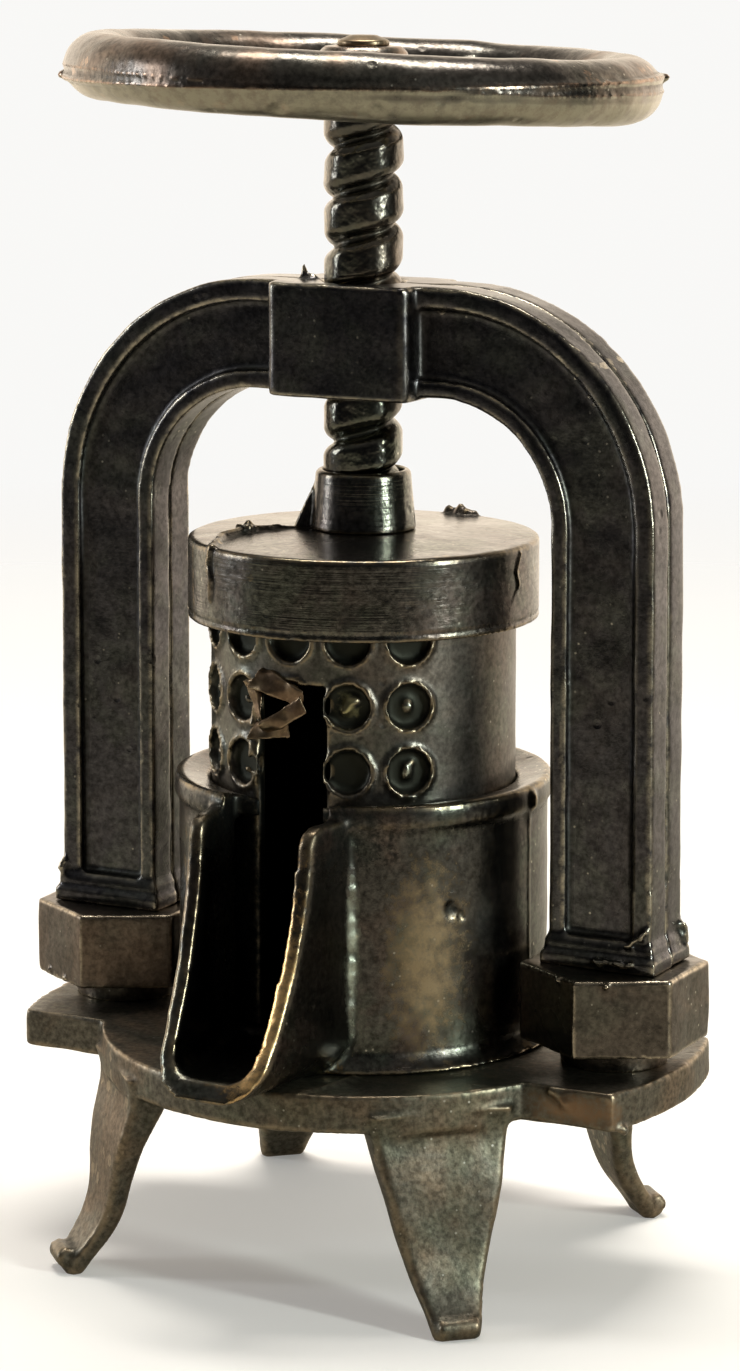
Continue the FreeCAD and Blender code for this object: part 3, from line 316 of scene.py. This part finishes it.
def make_patina():
    """Colour that drifts between a dark body, a brown and a green, mottled and dusted."""
    group, given, result = new_group(
        "patina",
        [("Dark", "Color", (0.03, 0.03, 0.028, 1)), ("Brown", "Color", (0.14, 0.085, 0.05, 1)),
         ("Green", "Color", (0.09, 0.11, 0.085, 1)), ("Brown Share", "Float", 0.5),
         ("Green Share", "Float", 0.3), ("Mottle", "Float", 0.35)],
        [("Color", "Color"), ("Drift", "Float")])
    place = in_millimetres(group)
    wide = cloud(group, place, 0.12, detail=5, rough=0.6, Distortion=0.6)
    other = add_node(group, "TexNoise", {"noise_dimensions": "4D"}, Vector=place, W=7.3,
                     Scale=0.2, Detail=5.0, Roughness=0.62, Distortion=0.4).outputs["Fac"]
    brown = combine(group, "MULTIPLY", stretch(group, wide, 0.47, 0.62), given["Brown Share"])
    green = combine(group, "MULTIPLY", stretch(group, other, 0.48, 0.62), given["Green Share"])
    body = blend_colours(group, brown, given["Dark"], given["Brown"])
    body = blend_colours(group, green, body, given["Green"])
    fleck = stretch(group, cloud(group, place, 2.2, detail=4, rough=0.65), 0.36, 0.66)
    grey = add_node(group, "CombineColor", in0=fleck, in1=fleck, in2=fleck).outputs["Color"]
    shade = blend_colours(group, given["Mottle"], body, grey, "MULTIPLY")
    dust = add_node(group, "TexVoronoi", Vector=place, Scale=1.1, Randomness=1.0)
    speck = combine(group, "MULTIPLY", stretch(group, dust.outputs["Distance"], 0.12, 0.06),
                    stretch(group, other, 0.5, 0.56))
    shade = blend_colours(group, speck, shade, DUST)
    group.links.new(shade, result["Color"])
    group.links.new(wide, result["Drift"])
    return group


# %% Rubbed edges, settled dirt and rubbed places
FLAT_EDGE, SHARP_EDGE = 0.508, 0.535  # pointiness of a barely and of a fully raised edge
FLAT_HOLLOW, DEEP_HOLLOW = 0.493, 0.47


def make_rubbed():
    """Mask of the raised edges, broken up so that the wear is patchy."""
    group, given, result = new_group("rubbed edges", [("Reach", "Float", 0.5)], [("Mask", "Float")])
    point = add_node(group, "NewGeometry").outputs["Pointiness"]
    chips = stretch(group, cloud(group, in_millimetres(group), 0.8, detail=6, rough=0.72),
                    0.38, 0.56)
    mask = combine(group, "MULTIPLY", stretch(group, point, FLAT_EDGE, SHARP_EDGE), chips)
    group.links.new(combine(group, "MULTIPLY", mask, given["Reach"]), result["Mask"])
    return group


def make_settled():
    """Mask of the hollows and inside corners."""
    group, given, result = new_group("settled dirt", [("Amount", "Float", 0.7)],
                                     [("Mask", "Float")])
    point = add_node(group, "NewGeometry").outputs["Pointiness"]
    patch = stretch(group, cloud(group, in_millimetres(group), 0.9, detail=4, rough=0.65),
                    0.25, 0.55)
    mask = combine(group, "MULTIPLY", stretch(group, point, FLAT_HOLLOW, DEEP_HOLLOW), patch)
    group.links.new(combine(group, "MULTIPLY", mask, given["Amount"]), result["Mask"])
    return group


FUZZ, SPOT_CORE, SPOT_END = 2.2, 1.35, 2.05  # how ragged a spot is, and where it fades


def make_spot():
    """Soft area about a place in millimetres, broken up by noise. With a facing, and a bias of 0,
    it keeps to the skin that faces that way."""
    group, given, result = new_group(
        "rubbed place",
        [("Centre", "Vector", (0, 0, 0)), ("Spread", "Vector", (5, 5, 5)),
         ("Strength", "Float", 1.0), ("Facing", "Vector", (0, 0, 0)), ("Bias", "Float", 1.0)],
        [("Mask", "Float")])
    place = in_millimetres(group)
    normal = add_node(group, "TexCoord").outputs["Normal"]
    toward = add_node(group, "VectorMath", {"operation": "DOT_PRODUCT"}, in0=normal,
                      in1=given["Facing"]).outputs["Value"]
    toward = stretch(group, combine(group, "ADD", toward, given["Bias"]), 0.45, 0.75)
    offset = add_node(group, "VectorMath", {"operation": "SUBTRACT"}, in0=place,
                      in1=given["Centre"]).outputs["Vector"]
    scaled = add_node(group, "VectorMath", {"operation": "DIVIDE"}, in0=offset,
                      in1=given["Spread"]).outputs["Vector"]
    far = add_node(group, "VectorMath", {"operation": "LENGTH"}, in0=scaled).outputs["Value"]
    fuzz = combine(group, "MULTIPLY", cloud(group, place, 1.1, detail=6, rough=0.75), FUZZ)
    mask = stretch(group, combine(group, "ADD", far, fuzz), SPOT_END, SPOT_CORE)
    mask = combine(group, "MULTIPLY", mask, toward)
    group.links.new(combine(group, "MULTIPLY", mask, given["Strength"]), result["Mask"])
    return group


GRAIN, TURNING, PATINA = make_grain(), make_turning(), make_patina()
RUBBED, SETTLED, SPOT = make_rubbed(), make_settled(), make_spot()
print("patterns:", [group.name for group in (GRAIN, TURNING, PATINA, RUBBED, SETTLED, SPOT)])


# %% [markdown]
# ## Finishes
# Each finish is one Principled shader that is all metal, so its colour is its reflection. Wear
# uncovers bronze or brass on the edges; on the yoke the pale edges are also a painted highlight.
# Dark dirt lies dull in the hollows, and the inside of the basket is painted dark as shade.
# A *spot* is a place of its own on a casting: (centre in mm, spread in mm, strength, colour,
# roughness), with a sixth entry, the way that the skin has to face, where the spot keeps to one
# side. Some spots are marks of the metal; others are painted shadow, highlights and reflections.

# %% Finish builder
def place_group(tree, group, **values):
    """A node that uses a group, with its inputs set; returns its outputs."""
    node = tree.nodes.new("ShaderNodeGroup")
    node.node_tree = group
    for name, value in values.items():
        node.inputs[name.replace("_", " ")].default_value = value
    return node.outputs


# GRIME is dirt in the hollows; the second colour is painted shade for the inside of a hollow
# casting.
GRIME, INSIDE_SHADE = (0.03, 0.032, 0.026), (0.035, 0.037, 0.03)
GRIME_DULL, INSIDE_SHADE_DULL, WORN_DULL = 0.6, 0.5, 0.25


def old_metal(name, dark, brown, green, shares=(0.5, 0.3), rough=(0.28, 0.42), mottle=0.35,
              worn=(0.42, 0.33, 0.2), wear=0.5, dirt=0.6, sand=0.006, lumps=0.03, pits=0.04,
              rings=0.0, hollow=None, spots=()):
    """Blackened casting with its own colours, shares of brown and green, gloss, wear and spots.
    Inside the hollow radius about Z, if one is given, the metal is painted dark as shade."""
    finish = bpy.data.materials.new(name)
    finish.use_nodes = True
    tree = finish.node_tree
    shader = tree.nodes["Principled BSDF"]
    shader.inputs["Metallic"].default_value = 1.0
    patina = place_group(tree, PATINA, Dark=(*dark, 1), Brown=(*brown, 1), Green=(*green, 1),
                         Brown_Share=shares[0], Green_Share=shares[1], Mottle=mottle)
    gloss = add_node(tree, "MapRange", Value=patina["Drift"], From_Min=0.35, From_Max=0.65,
                     To_Min=rough[0], To_Max=rough[1]).outputs["Result"]
    layers = []
    # Painted shade: inside the hollow radius the metal is painted dark and dull.
    if hollow:
        flat = in_millimetres(tree, (1, 1, 0))
        far = add_node(tree, "VectorMath", {"operation": "LENGTH"}, in0=flat).outputs["Value"]
        layers.append((stretch(tree, far, hollow, hollow - 0.2), INSIDE_SHADE, INSIDE_SHADE_DULL))
    layers.append((place_group(tree, RUBBED, Reach=wear)["Mask"], worn, WORN_DULL))
    for centre, spread, strength, tint, dull, *facing in spots:
        spot = place_group(tree, SPOT, Centre=centre, Spread=spread, Strength=strength)
        if facing:
            spot["Mask"].node.inputs["Facing"].default_value = facing[0]
            spot["Mask"].node.inputs["Bias"].default_value = 0.0
        layers.append((spot["Mask"], tint, dull))
    layers.append((place_group(tree, SETTLED, Amount=dirt)["Mask"], GRIME, GRIME_DULL))
    colour = patina["Color"]
    for mask, tint, dull in layers:
        colour = blend_colours(tree, mask, colour, (*tint, 1))
        gloss = blend_values(tree, mask, gloss, dull)
    tree.links.new(colour, shader.inputs["Base Color"])
    tree.links.new(gloss, shader.inputs["Roughness"])
    height = place_group(tree, GRAIN, Sand=sand, Lumps=lumps, Pits=pits)["Height"]
    if rings:
        height = combine(tree, "ADD", height, place_group(tree, TURNING, Depth=rings)["Height"])
    bump = add_node(tree, "Bump", Height=height, Distance=MM, Strength=1.0)
    tree.links.new(bump.outputs["Normal"], shader.inputs["Normal"])
    return finish


# %% The metals
BLACK, BROWN, GREEN = (0.17, 0.16, 0.145), (0.26, 0.19, 0.135), (0.19, 0.22, 0.17)
# The second colour is the vessel's ochre patch: partly its own ochre, partly a painted sheen.
COPPER, OCHRE_AND_SHEEN = (0.55, 0.36, 0.24), (0.40, 0.31, 0.19)
# The second colour paints the yoke's edges: partly worn metal, partly a painted highlight.
GOLD, PALE_WEAR_AND_HIGHLIGHT = (1.0, 0.66, 0.3), (0.55, 0.5, 0.4)
# SHADOW is painted shadow, and the second colour is a painted glint.
SHADOW, PAINTED_GLINT = (0.02, 0.022, 0.022), (0.42, 0.45, 0.36)
# UNDERSIDE picks the skin that faces down, for the wheel's painted reflection of the floor.
FORWARD, UNDERSIDE = (0, -1, 0), (0, 0, -2.2)
SPOTS = {
    "stand_casting": [
        ((22, -8.4, 15.3), (5, 1.5, 1.6), 0.7, (0.34, 0.21, 0.12), 0.4),
        # Painted reflection: darker green on the disc top beside the vessel, where it mirrors the
        # vessel.
        ((13, -10, 16.8), (7, 7, 0.6), 0.6, (0.09, 0.12, 0.09), 0.35)],
    "vessel_casting": [
        # Painted shade: near black at the top of the spout trough, and SHADOW lower down in it.
        ((0.3, -12.5, 34.5), (10, 7, 4.5), 1.0, (0.02, 0.022, 0.02), 0.55),
        ((-1.5, -12.5, 27), (4, 4, 14), 1.0, SHADOW, 0.55),
        # Ochre patch on the wall: partly its own colour, partly a painted sheen.
        ((10.6, -10.2, 25.0), (3.2, 4.4, 8.0), 0.75, OCHRE_AND_SHEEN, 0.4),
        ((11.3, -7.7, 28.4), (0.9, 0.9, 0.6), 1.0, (0.03, 0.028, 0.025), 0.6),
        # Painted highlight: a pale upright line where the spout meets the wall.
        ((5.6, -12.4, 26), (0.7, 1.0, 7), 0.9, (0.42, 0.46, 0.38), 0.4),
        ((3.2, -19.5, 22), (3.6, 8.0, 12), 1.0, GOLD, 0.34, FORWARD)],
    "basket_casting": [
        ((-1.5, -11.0, 27), (5, 4, 14), 1.0, SHADOW, 0.55),
        # A worn brass nub with a painted glint, then two painted glints on nubs in the dimples.
        ((4.3, -10.6, 43.0), (1.2, 1.2, 1.2), 0.9, (0.42, 0.40, 0.2), 0.35),
        ((8.0, -8.0, 43.0), (0.5, 0.5, 0.6), 0.9, PAINTED_GLINT, 0.3),
        ((8.0, -8.0, 38.2), (0.6, 0.6, 0.7), 0.9, (0.45, 0.48, 0.4), 0.3)],
    "wheel_casting": [
        # Painted reflection: the wheel's downward skin is painted pale olive, as if it mirrored the
        # floor.
        ((0, 0, 86.0), (60, 60, 20), 0.85, (0.44, 0.42, 0.33), 0.36, UNDERSIDE)],
}
SLOT_METALS = {
    "stand_casting": old_metal(
        "stand_metal", (0.2, 0.185, 0.15), (0.30, 0.22, 0.15), (0.2, 0.22, 0.16),
        shares=(0.7, 0.45), rough=(0.38, 0.52), sand=0.016, lumps=0.06, mottle=0.6,
        worn=(0.5, 0.4, 0.27), spots=SPOTS["stand_casting"]),
    "vessel_casting": old_metal(
        "vessel_metal", (0.12, 0.115, 0.105), (0.20, 0.145, 0.12), (0.15, 0.18, 0.14),
        shares=(0.6, 0.5), mottle=0.65, rough=(0.2, 0.3), sand=0.009,
        spots=SPOTS["vessel_casting"]),
    # The basket's inside, within 11.05 mm of its axis, is painted dark as shade.
    "basket_casting": old_metal(
        "basket_metal", BLACK, (0.23, 0.18, 0.14), GREEN, shares=(0.4, 0.4), mottle=0.5,
        hollow=11.05, spots=SPOTS["basket_casting"]),
    # The yoke's pale edges are partly wear and partly a painted highlight.
    "yoke_casting": old_metal(
        "yoke_metal", (0.125, 0.122, 0.13), (0.19, 0.15, 0.125), GREEN, shares=(0.2, 0.3),
        rough=(0.22, 0.3), worn=PALE_WEAR_AND_HIGHLIGHT, wear=0.8, sand=0.009, mottle=0.6),
    "cap_casting": old_metal(
        "cap_metal", (0.18, 0.17, 0.155), (0.22, 0.165, 0.145), GREEN, shares=(0.5, 0.5),
        rough=(0.2, 0.3), rings=0.03, sand=0.012, mottle=0.65),
    "wheel_casting": old_metal(
        "wheel_metal", (0.18, 0.165, 0.15), (0.32, 0.22, 0.16), (0.2, 0.21, 0.17),
        shares=(0.6, 0.3), rough=(0.2, 0.34), worn=COPPER, lumps=0.08, mottle=0.55,
        spots=SPOTS["wheel_casting"]),
    "screw_casting": old_metal(
        "screw_metal", (0.14, 0.135, 0.12), BROWN, GREEN, shares=(0.3, 0.5),
        rough=(0.16, 0.28), lumps=0.2, wear=0.3),
    "nut_casting": old_metal(
        "nut_metal", (0.155, 0.135, 0.115), (0.25, 0.185, 0.14), GREEN, shares=(0.7, 0.2),
        rough=(0.26, 0.36), lumps=0.1, sand=0.01, worn=(0.6, 0.52, 0.4), wear=0.95, mottle=0.5),
    "fixing_steel": old_metal("fixing_metal", (0.15, 0.145, 0.13), BROWN, GREEN),
    "bush_brass": old_metal("bush_metal", (0.3, 0.23, 0.13), BROWN, GREEN, shares=(0.6, 0.1)),
    "end_nut_brass": old_metal("end_nut_metal", (0.26, 0.19, 0.12), BROWN, GREEN),
}
for node_name, node_object in frame["nodes"].items():
    node_object.data.materials.clear()
    node_object.data.materials.append(SLOT_METALS[SLOT_OF[node_name]])
print("metals:", len(SLOT_METALS))


# %% [markdown]
# ## Re-cast pieces
# Die castings have no knife edges: the metal shrinks as it cools, so every corner is a little round
# and every flat a little wavy. Each visible casting is a copy of the true shape with its small
# flaws added: seams where the die halves met, flash, droplets and gate stubs. Remesh melts them
# together into one even skin, a few rounds of smoothing relax it, and soft noise pushes it about by
# a few hundredths of a millimetre. Turned surfaces are drawn back onto their exact radius, so that
# the reflections run in clean streaks.

# %% Recasting helpers
def only(piece):
    """Select one piece alone and make it the active one."""
    deselect_all()
    piece.select_set(True)
    bpy.context.view_layer.objects.active = piece


def apply_modifier(piece, kind, **settings):
    """Put a modifier on a piece and apply it at once."""
    only(piece)
    modifier = piece.modifiers.new(kind.lower(), kind)
    for name, value in settings.items():
        setattr(modifier, name, value)
    bpy.ops.object.modifier_apply(modifier=modifier.name)


def ready_piece(piece, finish, body, nodes=()):
    """Give a finished piece its metal, its smooth shading and its place in the model."""
    only(piece)
    piece.data.materials.clear()
    piece.data.materials.append(finish)
    bpy.ops.object.shade_smooth()
    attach(piece, body)
    if nodes:
        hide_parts(*nodes)
    print(f"{piece.name}: {len(piece.data.polygons)} faces")


JOIN_WITHIN = 0.001  # loose triangle corners this near each other, in mm, are one


def merged_copy(node, name):
    """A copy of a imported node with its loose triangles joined, free of its body."""
    piece = frame["nodes"][node].copy()
    piece.data = piece.data.copy()
    piece.parent = None
    piece.matrix_world = Matrix.Identity(4)
    piece.name = name
    piece.data.name = name
    bpy.context.collection.objects.link(piece)
    only(piece)
    bpy.ops.object.mode_set(mode="EDIT")
    bpy.ops.mesh.select_all(action="SELECT")
    bpy.ops.mesh.remove_doubles(threshold=JOIN_WITHIN * MM)
    bpy.ops.object.mode_set(mode="OBJECT")
    return piece


def relax(piece, rounds, **where):
    """Rounds of smoothing that each move a point halfway to the middle of its neighbours."""
    apply_modifier(piece, "SMOOTH", factor=0.5, iterations=rounds, **where)


def melt(piece, skin, rounds):
    """Even skin of the given cell size in millimetres, relaxed so that the corners go round."""
    apply_modifier(piece, "REMESH", mode="VOXEL", voxel_size=skin * MM, adaptivity=0)
    relax(piece, rounds)


def keep_largest(piece):
    """Throw away all that came out loose, and return the largest part under the piece's name."""
    only(piece)
    name = piece.name
    bpy.ops.mesh.separate(type="LOOSE")
    parts = sorted(bpy.context.selected_objects, key=lambda part: len(part.data.polygons))
    for stray in parts[:-1]:
        bpy.data.objects.remove(stray)
    parts[-1].name = name
    return parts[-1]


def soften(piece, start, end, rounds):
    """More rounds of smoothing inside a box given by two corners in millimetres."""
    inside = [vertex.index for vertex in piece.data.vertices
              if all(a < c / MM < b for a, c, b in zip(start, vertex.co, end))]
    group = piece.vertex_groups.new(name="soft")
    group.add(inside, 1.0, "REPLACE")
    relax(piece, rounds, vertex_group="soft")
    piece.vertex_groups.clear()


def true_up(piece, radius, bottom, top, reach=0.12):
    """Draw skin that lies near a surface turned about Z back onto its exact radius."""
    for vertex in piece.data.vertices:
        far = math.hypot(vertex.co.x, vertex.co.y) / MM
        miss = abs(far - radius)
        if bottom < vertex.co.z / MM < top and miss < reach:
            scale = 1 + (radius / far - 1) * (1 - (miss / reach) ** 2)
            vertex.co.x *= scale
            vertex.co.y *= scale


def waver(piece, depth, size, seed):
    """Push the skin in and out by soft noise: depth and size in millimetres."""
    shift = Vector((seed * 3.7, seed * 1.9, seed * 5.3))
    normals = [vertex.normal.copy() for vertex in piece.data.vertices]
    for vertex, normal in zip(piece.data.vertices, normals):
        push = noise.noise(vertex.co / (size * MM) + shift)
        vertex.co += normal * push * depth * MM


def press_in(piece, centre, radius, depth):
    """A shallow dent about a place, in millimetres."""
    centre = Vector(centre) * MM
    for vertex in piece.data.vertices:
        near = 1 - (vertex.co - centre).length / (radius * MM)
        if near > 0:
            vertex.co -= vertex.normal * depth * MM * near * near * (3 - 2 * near)


# %% Flaw helpers
def around(radius, degrees, height):
    """A place by radius and by angle from the spout toward the right arm, in millimetres."""
    turn = math.radians(degrees)
    return Vector((radius * math.sin(turn), -radius * math.cos(turn), height))


def lump(place, size):
    """A ball stretched to three half sizes, in millimetres."""
    deselect_all()
    bpy.ops.mesh.primitive_uv_sphere_add(segments=20, ring_count=12, radius=MM,
                                         location=Vector(place) * MM, scale=size)
    return bpy.context.object


def ridge(start, end, thick, thin=None):
    """A round bar from one place to another, tapering if a second radius is given."""
    start, end = Vector(start), Vector(end)
    deselect_all()
    bpy.ops.mesh.primitive_cone_add(
        vertices=12, radius1=thick * MM, radius2=(thick if thin is None else thin) * MM,
        depth=(end - start).length * MM, location=(start + end) / 2 * MM,
        rotation=(end - start).to_track_quat("Z", "Y").to_euler())
    return bpy.context.object


def chain(places, thick):
    """Ridges from place to place with a ball on each corner."""
    links = [ridge(start, end, thick) for start, end in zip(places, places[1:])]
    return links + [lump(place, (thick,) * 3) for place in places]


def crumbs(start, end, count, thick, stray=0.15):
    """A row of uneven droplets between two places."""
    row = []
    for number in range(count):
        place = Vector(start).lerp(Vector(end), (number + 0.5) / count)
        place += Vector([dice.uniform(-stray, stray) for _ in range(3)])
        row.append(lump(place, [thick * dice.uniform(0.7, 1.3) for _ in range(3)]))
    return row


def fuse(piece, extras):
    """Join the flaws to their casting; Remesh then melts them into one skin."""
    only(piece)
    for extra in extras:
        extra.select_set(True)
    bpy.ops.object.join()
    return piece


# %% Flaws of each casting
# Each entry is called when its casting is made, so that the droplets are drawn in that order.
CAP_TOP, CROWN_TOP = high("press_cap").z, high("yoke_front_half").z
SLEEVE_LOW, SLEEVE_TOP = low("cap_sleeve").z, high("cap_sleeve").z
FOOT_TOP = low("vessel").z
WALL, BARREL, CAP_SIDE, WHEEL_RIM = 13.7, 11.3, 13.0, 21.9  # outer radii in mm


def side_seams(radius, bottom, top, thick=0.2):
    """The lines left of and right of the spout where the two die halves met."""
    middle = radius - 0.06
    return [ridge((side * middle, 0.1 * side, bottom), (side * middle, 0, top), thick)
            for side in (-1, 1)]


def parting_ridge(radius, height, thick):
    """A fine raised line all round a rim, where the die halves met."""
    deselect_all()
    bpy.ops.mesh.primitive_torus_add(major_radius=radius * MM, minor_radius=thick * MM,
                                     major_segments=160, minor_segments=8,
                                     location=(0, 0, height * MM))
    return bpy.context.object


WHEEL_MID = (low("handwheel").z + high("handwheel").z) / 2
FLAWS = {
    "press_cap": lambda: (
        chain([around(3.7, -62, CAP_TOP - 0.1), around(8.5, -60, CAP_TOP - 0.02),
               around(10.9, -44, CAP_TOP - 0.05), around(12.75, -31, CAP_TOP - 0.45)], 0.28)
        + chain([around(12.9, -30, CAP_TOP - 0.5), around(12.95, -30.9, CAP_TOP - 1.6),
                 around(12.95, -29.6, CAP_TOP - 2.8), around(12.85, -30.4, CAP_TOP - 4.2)], 0.36)
        + crumbs(around(6.0, -62, CAP_TOP), around(9.4, -56, CAP_TOP), 6, 0.3)
        + [ridge(around(8.5, -61, CAP_TOP - 0.3), around(8.5, -61, CAP_TOP + 0.6), 0.8, 0.15),
           ridge(around(12.0, 170, CAP_TOP - 0.7), around(12.0, 170, CAP_TOP + 0.5), 0.9, 0.12)]
        + crumbs(around(12.1, 164, CAP_TOP - 0.3), around(12.1, 176, CAP_TOP - 0.3), 7, 0.4)
        + chain([around(12.95, 89, CAP_TOP - 0.9), around(12.98, 86, CAP_TOP - 2.2),
                 around(12.98, 88, CAP_TOP - 3.2), around(12.9, 84, CAP_TOP - 4.4)], 0.2)),
    "cap_sleeve": lambda: [
        ridge(around(foot, -62, SLEEVE_LOW + 2.2), around(3.45, -62, SLEEVE_TOP - 1.0), 0.3, 0.16)
        for foot in (3.5, 4.0, 4.5, 4.95)],
    "yoke_front_half": lambda: (
        [ridge((-4.6, -0.5, CROWN_TOP - 0.3), (-4.75, -0.5, CROWN_TOP + 1.1), 0.42, 0.2),
         lump((-3.95, -0.6, CROWN_TOP), (0.45, 0.4, 0.45))]
        + crumbs((24.6, -3.2, 27.3), (23.0, -3.4, 25.9), 7, 0.22)
        + crumbs((23.9, -3.6, 24.9), (20.5, -3.7, 24.7), 8, 0.2)
        + crumbs((-24.6, -2.9, 25.4), (-24.8, -2.9, 27.2), 4, 0.25)),
    "yoke_back_half": lambda: crumbs((25.2, 2.4, 27.2), (25.1, 3.0, 25.2), 4, 0.28),
    "vessel": lambda: (
        side_seams(WALL, FOOT_TOP + 0.4, 35.2)
        + [lump((side * 14.05, 0, 35.2), (0.32, 0.5, 0.8)) for side in (-1, 1)]
        + crumbs((5.7, -12.5, 19.5), (5.7, -12.5, 32.0), 26, 0.2, 0.1)),
    "basket": lambda: (
        side_seams(BARREL, 37.0, 49.3, 0.17)
        + [lump(around(10.7, turn, height), (0.5, 0.5, 0.55))
           for turn, height in ((45, 43.0), (45, 38.2), (22.5, 43.0), (-45, 43.0), (-45, 38.2))]
        + crumbs(around(10.9, 43, 37.7), around(10.9, 47, 38.9), 4, 0.28)
        + crumbs(around(10.95, 20, 42.4), around(10.95, 25, 43.6), 4, 0.35)
        + crumbs(around(11.3, -17, 36.9), around(11.3, -17, 44.4), 10, 0.3, 0.25)),
    "base_stand": lambda: (
        chain([(4.9, -18.3, 16.75), (5.9, -16.5, 16.85), (6.5, -13.5, 16.9)], 0.24)
        + [ridge(around(out, turn - 3.7, up), around(out, turn + 3.7, up), thick)
           for turn, out, up, thick in ((45, 22.9, 0.8, 0.75), (-45, 23.3, 1.2, 0.75),
                                        (135, 23.1, 0.95, 0.85), (-135, 23.1, 0.95, 0.8))]
        + crumbs((19.5, -9.0, 16.6), (25.0, -7.6, 14.0), 9, 0.4, 0.3)),
    "left_hex_nut": lambda: crumbs((-25.5, -4.2, 18.8), (-20.5, -6.8, 18.7), 5, 0.25),
    "right_hex_nut": lambda: crumbs((17.0, -6.2, 24.0), (23.8, -5.9, 23.9), 9, 0.22),
    "handwheel": lambda: [
        parting_ridge(21.72, WHEEL_MID, 0.24),
        lump(around(WHEEL_RIM, 118, WHEEL_MID - 0.1), (0.5, 0.5, 0.35)),
        lump(around(WHEEL_RIM, -62, WHEEL_MID + 0.1), (0.45, 0.45, 0.35))],
}

# %% [markdown]
# ## Skin of each casting
# Each casting has a cell size in millimetres, a number of smoothing rounds and a depth of ripple.
# The cell size is a compromise: small cells keep the thread and the dimples, large ones keep the
# face count of the whole press below a million. Some surfaces are then drawn back onto their turned
# radius, softened in a box, bent a little out of true or dented.

# %% Recast every visible casting
RECASTS = {
    "base_stand": (0.24, 5, 0.07), "vessel": (0.27, 3, 0.04), "basket": (0.25, 2, 0.03),
    "yoke_front_half": (0.18, 8, 0.06), "yoke_back_half": (0.2, 8, 0.06),
    "press_cap": (0.16, 2, 0.03), "cap_sleeve": (0.13, 3, 0.03), "screw_spindle": (0.13, 3, 0.12),
    "left_hex_nut": (0.16, 9, 0.1), "right_hex_nut": (0.16, 9, 0.1),
    "left_neck_washer": (0.12, 3, 0.03), "right_neck_washer": (0.12, 3, 0.03),
    "left_tie_screw": (0.12, 3, 0.03), "right_tie_screw": (0.12, 3, 0.03),
    "handwheel": (0.2, 3, 0.06), "wheel_end_nut": (0.1, 3, 0.02),
}
TURNED = {"vessel": [(WALL, 17.6, 33.2)], "press_cap": [(CAP_SIDE, 48.6, 53.6)],
          "basket": [(BARREL, 36.6, 49.3)]}
SHOULDERS = [((18.5, -9, 30), (27, 9, 73), 16), ((5.5, -9, 60), (9, 0, 74), 16)]
SOFTENED = {"yoke_front_half": SHOULDERS, "yoke_back_half": SHOULDERS,
            "vessel": [((-6.5, -26, 16), (6.5, -13.6, 37), 12)]}
BENT = {"handwheel": (0.14, 7.0, 40)}
DENTS = {"vessel": [(around(WALL, 55.7, 28.5), 0.8, 0.3), (around(WALL, 59.0, 28.0), 0.5, 0.25)],
         "handwheel": [(around(21.0, turn, WHEEL_MID - 1.4), 0.9, 0.2) for turn in (12, 31, 47)]}
RIPPLE = 2.6
for number, (node_name, (skin, rounds, depth)) in enumerate(RECASTS.items()):
    casting = merged_copy(node_name, node_name + "_casting")
    if node_name in FLAWS:
        fuse(casting, FLAWS[node_name]())
    melt(casting, skin, rounds)
    if node_name in FLAWS:
        casting = keep_largest(casting)
    for radius, bottom, top in TURNED.get(node_name, ()):
        true_up(casting, radius, bottom, top)
    for start, end, extra_rounds in SOFTENED.get(node_name, ()):
        soften(casting, start, end, extra_rounds)
    if node_name in BENT:
        waver(casting, *BENT[node_name])
    for centre, radius, dent in DENTS.get(node_name, ()):
        press_in(casting, centre, radius, dent)
    waver(casting, depth, RIPPLE, number)
    ready_piece(casting, SLOT_METALS[SLOT_OF[node_name]], BODY_OF[node_name],
                (node_name,))


# %% [markdown]
# ## Flakes in the basket slot
# Thin curls of coppery flash were never cleaned out of the long slot under the cap. Each is a thin
# block, tapered, twisted and bent, then melted into one even skin and rid of what came loose.

# %% Slot flakes
FLAKE_THICK, FLAKE_SKIN = 0.42, 0.08


def add_flake(name, start, end, width, bend, twist, seed):
    """A curled strip from one place to another, in millimetres; bend and twist in degrees."""
    start, end = Vector(start), Vector(end)
    deselect_all()
    bpy.ops.mesh.primitive_cube_add(size=MM, scale=((end - start).length, width, FLAKE_THICK))
    flake = bpy.context.object
    flake.name = name
    bpy.ops.object.transform_apply(location=False, rotation=False, scale=True)
    bpy.ops.object.mode_set(mode="EDIT")
    bpy.ops.mesh.subdivide(number_cuts=12)
    bpy.ops.object.mode_set(mode="OBJECT")
    apply_modifier(flake, "SIMPLE_DEFORM", deform_method="TAPER", deform_axis="X", factor=-0.25)
    apply_modifier(flake, "SIMPLE_DEFORM", deform_method="TWIST", deform_axis="X",
                   angle=math.radians(twist))
    apply_modifier(flake, "SIMPLE_DEFORM", deform_method="BEND", deform_axis="Y",
                   angle=math.radians(bend))
    flake.rotation_euler = (end - start).to_track_quat("X", "Y").to_euler()
    flake.location = (start + end) / 2 * MM
    bpy.ops.object.transform_apply(location=True, rotation=True, scale=True)
    melt(flake, FLAKE_SKIN, 2)
    flake = keep_largest(flake)
    waver(flake, 0.16, 0.9, seed)
    ready_piece(flake, FLAKE_METAL, "frame")


FLAKE_METAL = old_metal("flake_metal", (0.24, 0.17, 0.115), (0.36, 0.22, 0.13), (0.3, 0.28, 0.17),
                        rough=(0.3, 0.45), worn=(0.6, 0.46, 0.3), wear=0.5, dirt=0.5)
add_flake("slot_flake_top", (-2.6, -11.2, 44.9), (2.2, -11.7, 43.1), 1.5, 40, 60, 1)
add_flake("slot_flake_middle", (2.0, -11.6, 43.5), (-1.7, -11.9, 41.2), 1.2, -35, -50, 2)
add_flake("slot_flake_low", (-2.9, -11.3, 40.8), (1.1, -12.0, 41.3), 1.1, 45, 70, 3)
add_flake("slot_flake_left", (-3.0, -11.1, 44.6), (-2.3, -11.6, 41.6), 0.9, 30, 40, 4)
